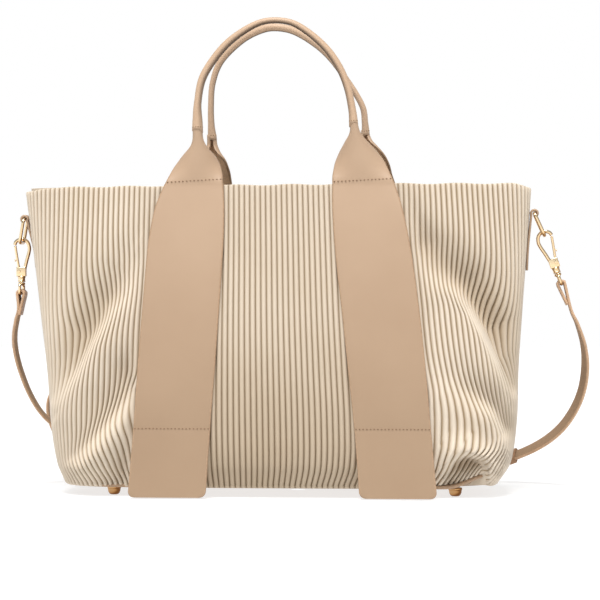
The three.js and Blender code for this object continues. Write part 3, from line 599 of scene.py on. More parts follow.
def bodyWall():
    shares, height = ribColumns()
    # ribs are flat between the straps and sharper beside them
    beside = smoothStep(np.abs(evenColumns(wall["rimFrom"], shares)[0]), *wall["sharpReach"])
    height = height ** (1 + wall["sharper"] * beside)
    relief = (height - 1) * wall["ribDepth"]
    bottom = wall["sections"][0]["z"]
    x, y, nx, ny = evenColumns(bottom, shares)
    nose = 1 + wall["noseCurl"] * smoothStep(x, *wall["noseReach"]) * smoothStep(-y, *wall["noseFront"])
    rows = []
    for drop, inset in wall["curl"]:
        ring, room, deep = wallRing(bottom, shares, relief, -inset * nose)
        ring[:, 2] -= drop * (1 - baseBare(ring[:, 0], ring[:, 1]))
        rows.append((ring, 1 - height, deep))
    levels = [*np.linspace(bottom, wall["fineBelow"], wall["fineLevels"], endpoint=False),
              *np.linspace(wall["fineBelow"], rimHeight, wall["levels"])]
    for z in levels:
        ring, room, deep = wallRing(z, shares, relief)
        rows.append((ring, (1 - height) * room, deep))
    # the rim rolls over to the inside, then the plain inner face goes down
    for rise, inset, keep in wall["rimRoll"]:
        ring, room, deep = wallRing(rimHeight, shares, relief * keep, inset)
        ring[:, 2] += rise
        rows.append((ring, (1 - height) * keep, deep))
    rings, grooveShades, shades = zip(*rows)
    innerShares = np.arange(wall["ribs"]) / wall["ribs"]
    inset = -wall["ribDepth"] - wall["thickness"]
    inner = [innerRing(z, innerShares, inset) for z in np.linspace(rimHeight, bottom, wall["innerLevels"])]
    points, faces = joinParts([skinRings(rings, capEnds=False), skinRings(inner, capEnds=False)])
    plain = np.ones(len(inner) * len(innerShares))
    made = makeObject("bodyWall", points, faces, [cloth])
    # painted shade in the rib grooves, and a fixed share of it on the plain inner face
    groove = np.concatenate([*grooveShades, plain * clothLook["insideGrooveShade"]]) ** clothLook["grooveShadeFalloff"]
    setAttribute(made, "groove", groove)
    # painted shade: deep folds are darkened, and so is the wall low down between the straps
    low = 1 - smoothStep(np.abs(points[:, 0]), *wall["shadeReach"])
    low *= 1 - wall["shadeLoss"] * smoothStep(points[:, 2], *wall["shadeHeights"])
    setAttribute(made, "shade", np.maximum(np.concatenate([*shades, plain * 0]), low))
    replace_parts(outwards(made), "body_shell")


bodyWall()
print("body wall made")


# base and feet

base = {
    "low": 7.3, "high": 10.3, "inset": 5.5, "columns": 240,
    "profile": [(-4.0, 0.0), (-0.8, 0.0), (0.0, 0.25), (0.3, 0.5), (0.0, 0.75), (-0.8, 1.0), (-4.0, 1.0)],
}


def basePanel():
    shares = np.linspace(0, 1, base["columns"], endpoint=False)
    x, y, nx, ny = evenColumns(wall["sections"][0]["z"], shares)
    rings = []
    for out, up in base["profile"]:
        grow = base["inset"] * (baseBare(x, y) - 1) + out
        z = base["low"] + (base["high"] - base["low"]) * up
        rings.append(np.stack([x + nx * grow, y + ny * grow, z + cornerRise(x, y)], 1))
    points, faces = skinRings(rings)
    # the first and the last band of faces are flat leather, and those between them the painted edge
    bands = len(base["profile"]) - 1
    place = np.arange(len(faces) - 2) // base["columns"]
    edge = np.concatenate([np.where((place > 0) & (place < bands - 1), 1, 0), [0, 0]])
    made = makeObject("basePanel", points, faces, [leather, edgePaint], faceMaterials=edge)
    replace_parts(outwards(made), "base_panel")


foot = {"radius": 5.7, "height": 7.0, "sides": 40, "middleX": 6.0, "spreadX": 142.0, "spreadY": 46.0,
        "profile": [(0.0, 0.0), (0.5, 0.0), (0.66, 0.06), (0.8, 0.2), (0.9, 0.4), (0.94, 0.6), (0.94, 0.68),
                    (1.0, 0.72), (1.0, 0.97), (0.96, 1.0), (0.0, 1.0)]}


def latheRings(profile, radius, height, sides, centre):
    angle = np.linspace(0, 2 * math.pi, sides, endpoint=False)
    rings = []
    for r, z in profile:
        reach = max(r, 0.001) * radius
        rings.append(np.stack([centre[0] + reach * np.cos(angle), centre[1] + reach * np.sin(angle),
                               np.full_like(angle, centre[2] + z * height)], 1))
    return rings


def domeFeet():
    for row, ySign in (("front", -1), ("back", 1)):
        for side, xSign in (("left", -1), ("right", 1)):
            centre = (foot["middleX"] + xSign * foot["spreadX"], ySign * foot["spreadY"], 0.0)
            points, faces = skinRings(latheRings(foot["profile"], foot["radius"], foot["height"],
                                                 foot["sides"], centre))
            name = "foot" + row.capitalize() + side.capitalize()
            made = makeObject(name, points, faces, [footGold])
            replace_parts(outwards(made), f"foot_{row}_{side}")


basePanel()
domeFeet()
print("base and feet made")


# stitches: short rounded threads laid along a line

stitch = {"pitch": 2.8, "length": 1.35, "radius": 0.46, "sides": 6}


def threadRun(spots, along, up):
    # one capsule of thread at each spot
    half = stitch["length"] / 2
    radius = stitch["radius"]
    stations = [(-half, 0.15), (-half * 0.75, 0.8), (0.0, 1.0), (half * 0.75, 0.8), (half, 0.15)]
    angle = np.linspace(0, 2 * math.pi, stitch["sides"], endpoint=False)
    parts = []
    for spot, ahead, normal in zip(spots, along, up):
        circle = np.outer(np.cos(angle), np.cross(ahead, normal)) + np.outer(np.sin(angle), normal)
        parts.append(skinRings([spot + ahead * a + radius * r * circle for a, r in stations]))
    return joinParts(parts)


# wide straps with free tails, rolled into necks above the rim

strap = {
    "thickness": 2.6, "clearance": 0.5, "wallMargin": 3.0, "tailLow": 1.2, "tailFlare": 8.0, "leastTurn": 0.6,
    "across": 22, "edgeSteps": 4, "stations": 150, "cornerRadius": 5.0, "cornerSteps": 8,
    "lowerSeam": 57.0, "lowerShare": 0.95, "upperSeam": 261.6, "upperShare": 0.92, "seamTilt": 1.3,
    "threadLift": 0.12, "threadSlant": 0.06, "threadStep": 0.01,
    "neckTop": {"FrontLeft": 307.2, "FrontRight": 311.7, "BackLeft": 305.2, "BackRight": 308.4},
    "backShift": {"Left": 4.4, "Right": 6.0}, "backShiftHeights": (262, 295),
    "Left": table(
        "z x width turn",
        (1.2, -86.4, 64, 1), (57, -83, 63.5, 1), (104, -80.3, 64, 1), (150, -78, 64, 1),
        (204, -75.4, 63.4, 1), (222, -74.2, 61.7, 1), (240, -72.6, 58, 2), (258, -69.8, 50, 8),
        (261.5, -69.2, 47.8, 14), (269, -68.1, 46.9, 70), (277, -67.4, 47.5, 140), (284, -67, 46, 200),
        (288, -66.8, 40.5, 250), (292, -66.7, 33, 300), (297, -67, 25.8, 325), (304.4, -67.3, 24.2, 330)),
    "Right": table(
        "z x width turn",
        (1.2, 102.2, 63, 1), (57, 97.4, 62.5, 1), (104, 92.6, 63.5, 1), (150, 87.4, 64, 1),
        (204, 80.2, 63, 1), (240, 75, 58, 2), (258, 72, 52.5, 8), (262.5, 71, 50.8, 14),
        (270.5, 69.5, 49.6, 65), (280, 68.1, 49.8, 130), (289, 66.5, 47, 195), (295.5, 65.3, 38, 250),
        (300, 64.8, 28, 300), (304.5, 64.3, 21.5, 325), (308.9, 63.6, 20, 330)),
    "freeAbove": 274,
    "lean": table(
        "z out",
        (258, 42.6), (264, 42.4), (270, 42.3), (277, 41.7), (286, 40.6), (296, 39.8), (309, 39.3)),
}


def wallReach(z, x, width, ySign):
    shares = np.linspace(0, 1, wall["ribs"] * 2, endpoint=False)
    ring = wallRing(z, shares, 0.0)[0]
    near = ring[np.abs(ring[:, 0] - x) < width / 2 + strap["wallMargin"]]
    return (near[:, 1] * ySign).max()


def strapStation(which, z, ySign):
    read = {column: readColumn(strap[which], "z", column, z) for column in ("x", "width", "turn")}
    if ySign > 0:
        read["x"] += strap["backShift"][which] * smoothStep(z, *strap["backShiftHeights"])
    seam = min(max(z, strap["lowerSeam"]), rimHeight)
    read["out"] = wallReach(seam, read["x"], read["width"], ySign) + strap["clearance"] + strap["thickness"]
    read["out"] += strap["tailFlare"] * (1 - min(z / strap["lowerSeam"], 1.0))
    # above the rim the strap leaves the wall's line little by little
    free = smoothStep(z, rimHeight, strap["freeAbove"])
    read["out"] = read["out"] * (1 - free) + readColumn(strap["lean"], "z", "out", z) * free
    low = z - strap["tailLow"]
    if low < strap["cornerRadius"]:
        r = strap["cornerRadius"]
        read["width"] -= 2 * (r - math.sqrt(max(r * r - (r - low) ** 2, 0)))
    read["angle"] = math.radians(max(read["turn"], strap["leastTurn"]))
    return read


def strapPoint(station, z, ySign, a, b):
    # a runs across the strap, b is how far in from its outer face
    radius = station["width"] / station["angle"]
    r = radius - b
    angle = a * station["width"] / 2 / radius
    out = station["out"] - radius + r * np.cos(angle)
    return np.stack([station["x"] + r * np.sin(angle), out * ySign, np.full_like(angle, z)], -1)


def bandOutline(station):
    # closed outline of a band: outer face, rounded edge, inner face, rounded edge
    thick = strap["thickness"]
    edge = 1 - thick / station["width"]
    face = np.linspace(-edge, edge, strap["across"])
    turn = np.linspace(math.pi / 2, -math.pi / 2, strap["edgeSteps"] + 2)[1:-1]
    a = np.concatenate([face, edge + (1 - edge) * np.cos(turn), face[::-1],
                        -edge - (1 - edge) * np.cos(turn)])
    b = np.concatenate([np.zeros_like(face), thick / 2 * (1 - np.sin(turn)), np.full_like(face, thick),
                        thick / 2 * (1 + np.sin(turn))])
    return a, b


def wideStrap(row, which, ySign):
    low = strap["tailLow"]
    corner = low + strap["cornerRadius"] * (1 - np.cos(np.linspace(0, math.pi / 2, strap["cornerSteps"])))
    above = np.linspace(corner[-1], strap["neckTop"][row + which], strap["stations"])
    levels = np.concatenate([corner, above[1:]])
    rings = []
    for z in levels:
        station = strapStation(which, z, ySign)
        rings.append(strapPoint(station, z, ySign, *bandOutline(station)))
    points, faces = skinRings(rings)
    around = 2 * strap["across"] + 2 * strap["edgeSteps"]
    place = np.arange(len(faces) - 2) % around
    onEdge = (place >= strap["across"] - 1) & (place < strap["across"] + strap["edgeSteps"])
    onEdge |= place >= around - strap["edgeSteps"] - 1
    inside = (place >= strap["across"] + strap["edgeSteps"]) & ~onEdge
    kinds = np.concatenate([np.where(onEdge, 1, np.where(inside, 2, 0)), [1, 1]])
    made = makeObject("strap" + row + which, points, faces, [strapLeather, edgePaint, strapInsideLit],
                      faceMaterials=kinds)
    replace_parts(outwards(made), f"strap_{row.lower()}_{which.lower()}")


def strapStitches(row, which, ySign):
    spots = []
    ahead = []
    normals = []
    lift = strap["threadLift"]
    seams = ((strap["lowerSeam"], strap["lowerShare"], 0.0),
             (strap["upperSeam"], strap["upperShare"], strap["seamTilt"]))
    for seam, share, tilt in seams:
        count = int(strapStation(which, seam, ySign)["width"] * share / stitch["pitch"])
        for a in np.linspace(-share, share, count):
            z = seam + tilt * a
            across = np.array([a, a, a + strap["threadStep"]])
            deep = np.array([-lift, 1.0, -lift])
            at, inward, aside = strapPoint(strapStation(which, z, ySign), z, ySign, across, deep)
            slant = strap["threadSlant"] * np.linalg.norm(aside - at)
            spots.append(at)
            ahead.append(unit(aside - at + np.array([0, 0, slant])))
            normals.append(unit(at - inward))
    points, faces = threadRun(spots, ahead, normals)
    outwards(makeObject("strapStitches" + row + which, points, faces, [threadTan]))


for row, ySign in (("Front", -1), ("Back", 1)):
    for which in ("Left", "Right"):
        wideStrap(row, which, ySign)
        strapStitches(row, which, ySign)
print("wide straps made")


# rolled handles: a leather sleeve that bells out over the necks of the straps at each end

handle = {
    "sides": 32, "steps": 150, "seamDepth": 0.5, "seamWidth": 0.14, "lipHeight": 0.3, "lipAt": 0.34,
    "lipWidth": 0.16, "seamInkAndShade": 1.2, "endSlant": 2.2, "slantSkew": 0.36, "slantFade": 1.6,
    "cutEdge": [(0.82, 0.0), (0.76, 1.2)], "stitchDensity": 1.4,
    "front": table(
        "x out z thick deep",
        (-67.3, 35.4, 304.9, 4.6, 4.6), (-67.4, 35.1, 312, 4.2, 4.4), (-67.2, 34.6, 328, 3.1, 4.0),
        (-62.6, 33.5, 349.5, 3.2, 3.9), (-47.4, 30.6, 372.4, 3.2, 3.8), (-30.5, 28.4, 387, 2.9, 3.7),
        (-12, 27.2, 395.8, 2.5, 3.6), (8, 27.2, 395.4, 2.5, 3.6), (23.5, 27.9, 387.4, 2.8, 3.7),
        (40, 29.6, 372.7, 3.0, 3.8), (51.5, 31.6, 356, 3.1, 3.8), (58.4, 33.1, 338.8, 3.1, 3.9),
        (62.2, 34.6, 320.8, 3.2, 4.0), (63.5, 35.5, 309.4, 3.8, 4.2)),
    "back": table(
        "x out z thick deep",
        (-62.5, 35.4, 302.9, 4.0, 4.4), (-63.4, 34.9, 313, 2.9, 4.2), (-63.6, 34.1, 330, 2.5, 4.0),
        (-62, 33.4, 350, 2.5, 3.9), (-54.5, 31.6, 368.8, 2.8, 3.8), (-37, 29.1, 386, 3.1, 3.7),
        (-20, 27.9, 395, 3.3, 3.6), (-6, 27.4, 397, 3.3, 3.6), (10, 27.6, 393.4, 3.2, 3.6),
        (28, 28.9, 382.3, 3.0, 3.7), (41, 30.6, 370, 2.8, 3.8), (52, 32.1, 355, 2.6, 3.8),
        (62, 33.4, 340, 2.6, 3.9), (68.5, 34.1, 327, 2.6, 4.0), (70, 34.9, 315, 2.8, 4.2),
        (70.6, 35.5, 306.1, 3.5, 4.3)),
}


def rolledHandle(name, rows, ySign, node):
    route = [[r["x"], r["out"] * ySign, r["z"], r["thick"], r["deep"]] for r in rows]
    path = smoothPath(route, handle["steps"])
    angle = np.linspace(0, 2 * math.pi, handle["sides"], endpoint=False)
    forward = np.array([0.0, 1.0, 0.0])
    # a shallow groove between two lips where the wrap closes, on the inner side of the arch
    away = np.abs((angle + math.pi) % (2 * math.pi) - math.pi)
    seam = handle["lipHeight"] * np.exp(-((away - handle["lipAt"]) / handle["lipWidth"]) ** 2)
    seam -= handle["seamDepth"] * np.exp(-(away / handle["seamWidth"]) ** 2)
    slope = 1 - np.maximum(ySign * np.sin(angle), 0) + handle["slantSkew"] * np.cos(angle)
    endSlant = handle["endSlant"] * slope
    rings = []
    frames = []
    for i, (x, y, z, thick, deep) in enumerate(path):
        tangent = tangentAt(path, i)
        across = unit(np.cross(forward, tangent))
        square = np.cross(tangent, across)
        frames.append((np.array([x, y, z]), tangent, across, square, thick, deep))
        ring = np.array([x, y, z]) + np.outer(np.cos(angle) * (thick + seam), across)
        ring = ring + np.outer(np.sin(angle) * (deep + seam), square)
        ring[:, 2] -= endSlant * math.exp(-(min(i, len(path) - 1 - i) / handle["slantFade"]) ** 2)
        rings.append(ring)
    # the cut edge of the sleeve shows its thickness at both ends and hangs lower on the inner side
    for at, step in ((0, 1), (-1, -1)):
        spot, tangent, across, square, thick, deep = frames[at]
        for shrink, inside in handle["cutEdge"]:
            ring = spot + tangent * inside * step + np.outer(np.cos(angle) * thick * shrink, across)
            ring = ring + np.outer(np.sin(angle) * deep * shrink, square)
            ring[:, 2] -= endSlant
            rings.insert(0 if at == 0 else len(rings), ring)
    points, faces = skinRings(rings)
    made = makeObject(name, points, faces, [handleLeather])
    # painted shade with the wrap's inked edge: dark along its closing seam under the arch, less so towards
    # the sleeves
    along = np.sin(np.linspace(0, math.pi, len(rings))) ** 0.5
    reach = handle["seamInkAndShade"] if ySign < 0 else handle["seamInkAndShade"] / 2
    setAttribute(made, "seam", np.outer(along, np.exp(-(away / reach) ** 4)).ravel())
    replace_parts(outwards(made), node)
    for end, at in (("Left", 1), ("Right", len(frames) - 2)):
        sleeveStitches(name + "Stitches" + end, frames[at])


def sleeveStitches(name, frameAt):
    spot, tangent, across, square, thick, deep = frameAt
    spots = []
    ahead = []
    normals = []
    sunk = stitch["radius"] / 2
    count = int(2 * math.pi * thick / stitch["pitch"] * handle["stitchDensity"])
    for turn in np.linspace(0, 2 * math.pi, count, endpoint=False):
        outward = unit(across * math.cos(turn) / thick + square * math.sin(turn) / deep)
        at = spot + across * (thick - sunk) * math.cos(turn)
        spots.append(at + square * (deep - sunk) * math.sin(turn))
        ahead.append(np.cross(tangent, outward))
        normals.append(outward)
    points, faces = threadRun(spots, ahead, normals)
    outwards(makeObject(name, points, faces, [threadTan]))


rolledHandle("handleFront", handle["front"], -1, "handle_front")
rolledHandle("handleBack", handle["back"], 1, "handle_back")
print("handles made")


# side hardware: tabs, rings, snap hooks with gates and swivel eyes

side = {
    "wire": 1.4, "ringLength": 20.5, "ringHalf": 9.5, "ringCorner": 4.0, "hookReach": 28.9,
    "tabWidth": 12.0, "tabThick": 1.9, "tabPlay": 0.5, "tabSteps": 70, "tabBend": (0.72, 0.28, 0.6),
    "tabLeaves": 4.0, "tabTurn": 4.0, "tabTurnSteps": 14,
    "Left": {"sign": -1, "barX": 219.4, "barZ": 231, "ringLean": 9.5, "hookLean": 0,
             "tabFootX": 208.3, "tabFootZ": 190},
    "Right": {"sign": 1, "barX": 214.3, "barZ": 235, "ringLean": 24.3, "hookLean": 19,
              "tabFootX": 207.1, "tabFootZ": 187},
}


def turnLean(points, degrees):
    # leans points outwards from straight down, in the plane seen from the front
    a = math.radians(degrees)
    points = np.asarray(points, float)
    x = points[:, 0] * math.cos(a) - points[:, 2] * math.sin(a)
    z = points[:, 0] * math.sin(a) + points[:, 2] * math.cos(a)
    return np.stack([x, points[:, 1], z], 1)


def wireSkin(path, halfAcross, halfDeep, planeNormal, closed, sides=18):
    path = np.asarray(path, float)
    count = len(path)
    normal = np.asarray(planeNormal, float)
    angle = np.linspace(0, 2 * math.pi, sides, endpoint=False)
    rings = []
    for i in range(count):
        before = path[(i - 1) % count if closed else max(i - 1, 0)]
        after = path[(i + 1) % count if closed else min(i + 1, count - 1)]
        tangent = unit(after - before)
        across = unit(np.cross(normal, tangent))
        ring = path[i] + np.outer(np.cos(angle) * halfAcross, across)
        rings.append(ring + np.outer(np.sin(angle) * halfDeep, normal))
    return skinRings(rings, closedAlong=closed)


def loopPath(half, length, corner, steps=10):
    path = []
    spots = ((half - corner, -corner, 0), (corner - half, -corner, 90),
             (corner - half, corner - length, 180), (half - corner, corner - length, 270))
    for y, z, start in spots:
        for angle in np.radians(np.linspace(start, start + 90, steps)):
            path.append([0.0, y + corner * math.cos(angle), z + corner * math.sin(angle)])
    return path


def bevelledBox(low, high, bevel, segments=3):
    work = bmesh.new()
    bmesh.ops.create_cube(work, size=1.0)
    low = np.array(low, float)
    high = np.array(high, float)
    for vert in work.verts:
        vert.co = Vector((np.array(vert.co) + 0.5) * (high - low) + low)
    bmesh.ops.bevel(work, geom=work.edges[:], offset=bevel, segments=segments, profile=0.5, affect="EDGES")
    work.verts.index_update()
    points = np.array([v.co[:] for v in work.verts])
    faces = [[v.index for v in f.verts] for f in work.faces]
    work.free()
    return points, faces


def turnedPart(axis, centre, profile, radius, low, high, hollow, sides=28):
    rings = latheRings(profile, radius, high - low, sides, (0, 0, low))
    points, faces = skinRings(rings, closedAlong=hollow)
    if axis == "y":
        points = np.stack([points[:, 0], points[:, 2], -points[:, 1]], 1)
    return points + np.asarray(centre, float), faces


def rodAlong(axis, centre, radius, low, high, rounding=0.25):
    profile = [(0.0, 0.0), (1 - rounding, 0.0), (1 - rounding * 0.3, 0.07), (1.0, 0.2), (1.0, 0.8),
               (1 - rounding * 0.3, 0.93), (1 - rounding, 1.0), (0.0, 1.0)]
    return turnedPart(axis, centre, profile, radius, low, high, False)


def collar(axis, centre, radius, bore, low, high):
    # a short tube with softened outer edges
    share = bore / radius
    profile = [(0.93, 0.0), (1.0, 0.1), (1.0, 0.9), (0.93, 1.0), (share, 1.0), (share, 0.0)]
    return turnedPart(axis, centre, profile, radius, low, high, True)


# a hook's own axes: x outwards, z up its stem, sizes of collars and stems as radius, low and high
hook = {
    "spine": [(-2.6, 6.4), (-4.4, 14), (-6.3, 21), (-6.6, 25.4), (-4.8, 30), (0, 32.4), (4.6, 30.3),
              (6, 27.3)],
    "spineWire": (1.5, 1.6), "spineSteps": 64, "pivot": (2.0, 4.6),
    "blockLow": (-4.0, -2.8, 0.3), "blockHigh": (4.2, 2.8, 8.3), "cheek": 1.4, "inlay": 0.6, "backTo": -0.95,
    "floorTo": 1.3, "floorGap": 0.3, "bevel": 0.5, "softBevel": 0.3,
    "pinRadius": 0.85, "pinHalf": 3.0, "rivetRadius": 1.55, "rivetReach": (2.6, 3.25), "rivetRound": 0.4,
    "socketBore": 1.9, "collars": [(3.0, -4.4, 0.6), (3.3, -1.1, 0.2), (3.25, -4.4, -3.4)],
    "gate": [(2.1, 6.0), (3.2, 12), (4.4, 19), (5.6, 26.4)], "gateWire": (1.1, 1.0), "gateSteps": 30,
    "barrelRadius": 2.4, "barrelHalf": 1.0, "pinBore": 1.05, "thumb": ((5.0, -0.8, 13.0), (6.0, 0.8, 15.0)),
    "eyeBar": -14.5, "eyeTop": -7.0, "eyeHalf": 9.2, "eyeWire": 1.25, "eyeCorner": 2.6, "eyeSunk": 0.6,
    "stem": [(3.0, -7.0, -4.8), (2.2, -7.6, -6.6), (1.5, -5.2, -1.2)],
}


def atSide(points, which):
    # from the middle of a ring's bar to its place at the end of the bag
    spot = side[which]
    return (points + np.array([spot["barX"], 0, spot["barZ"]])) * np.array([spot["sign"], 1, 1])


def placeRing(points, which):
    return atSide(turnLean(points, side[which]["ringLean"]), which)


def placeHook(points, which):
    # from a hook's own axes to where its ring holds it
    ring = turnLean([[0, 0, -side["ringLength"]]], side[which]["ringLean"])[0]
    local = np.asarray(points, float) - np.array([0, 0, side["hookReach"]])
    return atSide(turnLean(local, side[which]["hookLean"]) + ring, which)


def hookBody(which):
    wire = smoothPath([[u, 0, w] for u, w in hook["spine"]], hook["spineSteps"])
    lowX, lowY, lowZ = hook["blockLow"]
    highX, highY, highZ = hook["blockHigh"]
    cheek = hook["cheek"]
    inlay = hook["inlay"]
    gap = hook["floorGap"]
    # two cheeks, a back and a floor leave room for the gate's barrel
    boxes = [
        ((lowX, lowY, lowZ), (highX, lowY + cheek, highZ), hook["bevel"]),
        ((lowX, highY - cheek, lowZ), (highX, highY, highZ), hook["bevel"]),
        ((lowX, lowY + inlay, lowZ), (hook["backTo"], highY - inlay, highZ), hook["softBevel"]),
        ((lowX + gap, lowY + inlay, lowZ), (highX - gap, highY - inlay, hook["floorTo"]), hook["softBevel"]),
    ]
    parts = [wireSkin(wire, *hook["spineWire"], (0, 1, 0), False)]
    parts += [bevelledBox(*box) for box in boxes]
    u, w = hook["pivot"]
    parts.append(rodAlong("y", (u, 0, w), hook["pinRadius"], -hook["pinHalf"], hook["pinHalf"]))
    for ySign in (-1, 1):
        near, far = sorted(ySign * reach for reach in hook["rivetReach"])
        parts.append(rodAlong("y", (u, 0, w), hook["rivetRadius"], near, far, hook["rivetRound"]))
    for radius, bottom, top in hook["collars"]:
        parts.append(collar("z", (0, 0, 0), radius, hook["socketBore"], bottom, top))
    points, faces = joinParts(parts)
    made = makeObject("snapHook" + which, placeHook(points, which), faces, [gold],
                      body="snap_" + which.lower())
    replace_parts(outwards(made), "hook_" + which.lower())


def hookGate(which):
    wire = smoothPath([[u, 0, w] for u, w in hook["gate"]], hook["gateSteps"])
    u, w = hook["pivot"]
    half = hook["barrelHalf"]
    parts = [wireSkin(wire, *hook["gateWire"], (0, 1, 0), False)]
    parts.append(collar("y", (u, 0, w), hook["barrelRadius"], hook["pinBore"], -half, half))
    parts.append(bevelledBox(*hook["thumb"], hook["softBevel"]))
    points, faces = joinParts(parts)
    made = makeObject("snapGate" + which, placeHook(points, which), faces, [gold],
                      body="gate_" + which.lower())
    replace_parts(outwards(made), "hook_gate_" + which.lower())


def swivelEye(which):
    drop = hook["eyeTop"] - hook["eyeBar"] + hook["eyeSunk"]
    loop = np.array(loopPath(hook["eyeHalf"], drop, hook["eyeCorner"]))
    loop = loop + np.array([0, 0, hook["eyeTop"] + hook["eyeSunk"]])
    parts = [wireSkin(loop, hook["eyeWire"], hook["eyeWire"], (1, 0, 0), True)]
    for radius, bottom, top in hook["stem"]:
        parts.append(rodAlong("z", (0, 0, 0), radius, bottom, top))
    points, faces = joinParts(parts)
    made = makeObject("swivelEye" + which, placeHook(points, which), faces, [gold])
    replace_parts(outwards(made), "swivel_eye_" + which.lower())


def ringAndTab(which):
    spot = side[which]
    loop = loopPath(side["ringHalf"], side["ringLength"], side["ringCorner"])
    points, faces = wireSkin(loop, side["wire"], side["wire"], (1, 0, 0), True)
    ring = makeObject("dRing" + which, placeRing(points, which), faces, [gold])
    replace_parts(outwards(ring), "d_ring_" + which.lower())
    # the tab is one strip that goes up the wall, round the ring's bar and ends behind itself
    reach = side["wire"] + side["tabPlay"] + side["tabThick"] / 2
    footU = spot["tabFootX"] - spot["barX"] + side["tabThick"] / 2
    footW = spot["tabFootZ"] - spot["barZ"]
    bendFoot, bendBar, bendDown = side["tabBend"]
    centre = [[footU, 0, footW], [footU * bendFoot - reach * bendBar, 0, footW * bendDown],
              [-reach, 0, -side["tabLeaves"]]]
    turns = np.linspace(0.0, side["tabTurn"], side["tabTurnSteps"])
    centre += [[-reach * math.cos(a), 0, reach * math.sin(a)] for a in turns]
    path = smoothPath(centre, side["tabSteps"])
    outline = roundedBand(side["tabWidth"] / 2, side["tabThick"] / 2)
    rings = []
    for i in range(len(path)):
        square = np.cross(tangentAt(path, i), np.array([0.0, 1.0, 0.0]))
        rings.append(path[i] + np.outer(outline[:, 0], [0, 1, 0]) + np.outer(outline[:, 1], square))
    points, faces = skinRings(rings)
    tab = makeObject("sideTab" + which, atSide(points, which), faces, [leather])
    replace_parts(outwards(tab), "side_tab_" + which.lower())


def roundedBand(half, thick, faceSteps=8, edgeSteps=5):
    edge = np.linspace(math.pi / 2, -math.pi / 2, edgeSteps + 2)[1:-1]
    face = np.linspace(-(half - thick), half - thick, faceSteps)
    a = np.concatenate([face, half - thick + thick * np.cos(edge), face[::-1],
                        thick - half - thick * np.cos(edge)])
    b = np.concatenate([np.full_like(face, thick), thick * np.sin(edge), np.full_like(face, -thick),
                        -thick * np.sin(edge)])
    return np.stack([a, b], 1)


for which in ("Left", "Right"):
    ringAndTab(which)
    hookBody(which)
    hookGate(which)
    swivelEye(which)
print("side hardware made")


# shoulder strap: one ribbon folded round the bar of each eye, passing behind the bag

shoulder = {
    "width": 14.0, "thickness": 2.4, "steps": 520, "faceSteps": 8, "edgeSteps": 5, "foldedPly": 18.0,
    "plyEnd": (1.0, 0.5), "plyMiddle": (0.45, 0.75), "barGap": 0.5, "barSteps": 6, "keeperX": 198,
    "keeperLength": 7.0, "keeperWall": 1.4, "keeperPlay": 0.6, "keeperCorner": 1.6, "keeperSteps": 4,
    "keeperTurns": 6,
    "route": table(
        "x y z turn",
        (-224.6, 0, 155, 0), (-227.6, 4, 145, 0), (-230.6, 10, 133, 0), (-231.6, 18, 120, 0),
        (-230, 32, 102, 0), (-225, 48, 81, 0), (-217.5, 61, 64, 0), (-207, 72, 51, 0),
        (-194, 80, 42, 0), (-178, 86, 39, 0), (-166, 89, 48, 0), (-163, 91, 64, 0), (-172, 93, 80, 0),
        (-188, 95, 89, 0), (-207, 97, 86, 0), (-215.5, 98, 75, 0), (-217, 99, 61, 0),
        (-213, 101, 46, 0), (-204, 103, 32, 0), (-182, 106, 20, 0), (-160, 109, 11, 0),
        (-135, 112, 5, 0), (-108, 113, 2.4, 0), (-72, 113, 1.8, 0), (0, 112, 1.8, 0), (72, 112, 1.8, 0),
        (112, 112, 2.4, 6), (142, 111, 7, 14), (170, 108, 14, 20), (198, 102, 23, 24),
        (221, 88, 34.5, 25), (238, 70, 49, 25), (249.5, 52, 66.5, 24), (256.2, 36, 85.5, 22),
        (258.2, 22, 106, 20), (256.2, 11, 124, 12), (250.4, 4, 142, 4), (245, 1, 154, 0)),
}


def strapEnd(which, first):
    sign = side[which]["sign"]
    bar = placeHook([[0, 0, hook["eyeBar"]]], which)[0]
    reach = hook["eyeWire"] + shoulder["barGap"] + shoulder["thickness"] / 2
    away = unit(np.array([first["x"], 0, first["z"]]) - bar * np.array([1, 0, 1]))
    outward = np.array([-away[2], 0, away[0]])
    if outward[0] * sign < 0:
        outward = -outward
    spots = []
    for down, aside in (shoulder["plyEnd"], shoulder["plyMiddle"]):
        spots.append(bar + away * shoulder["foldedPly"] * down - outward * reach * aside)
    for angle in np.linspace(0, math.pi, shoulder["barSteps"]):
        spots.append(bar - outward * reach * math.cos(angle) - away * reach * math.sin(angle))
    return [[*spot, 0.0] for spot in spots]


def ribbonFrames(path):
    frames = []
    for i in range(len(path)):
        tangent = tangentAt(path, i)
        level = unit(np.array([0, 1, 0]) - tangent * tangent[1])
        over = np.cross(tangent, level)
        turn = math.radians(path[i, 3])
        across = level * math.cos(turn) + over * math.sin(turn)
        frames.append((tangent, across, np.cross(tangent, across)))
    return frames


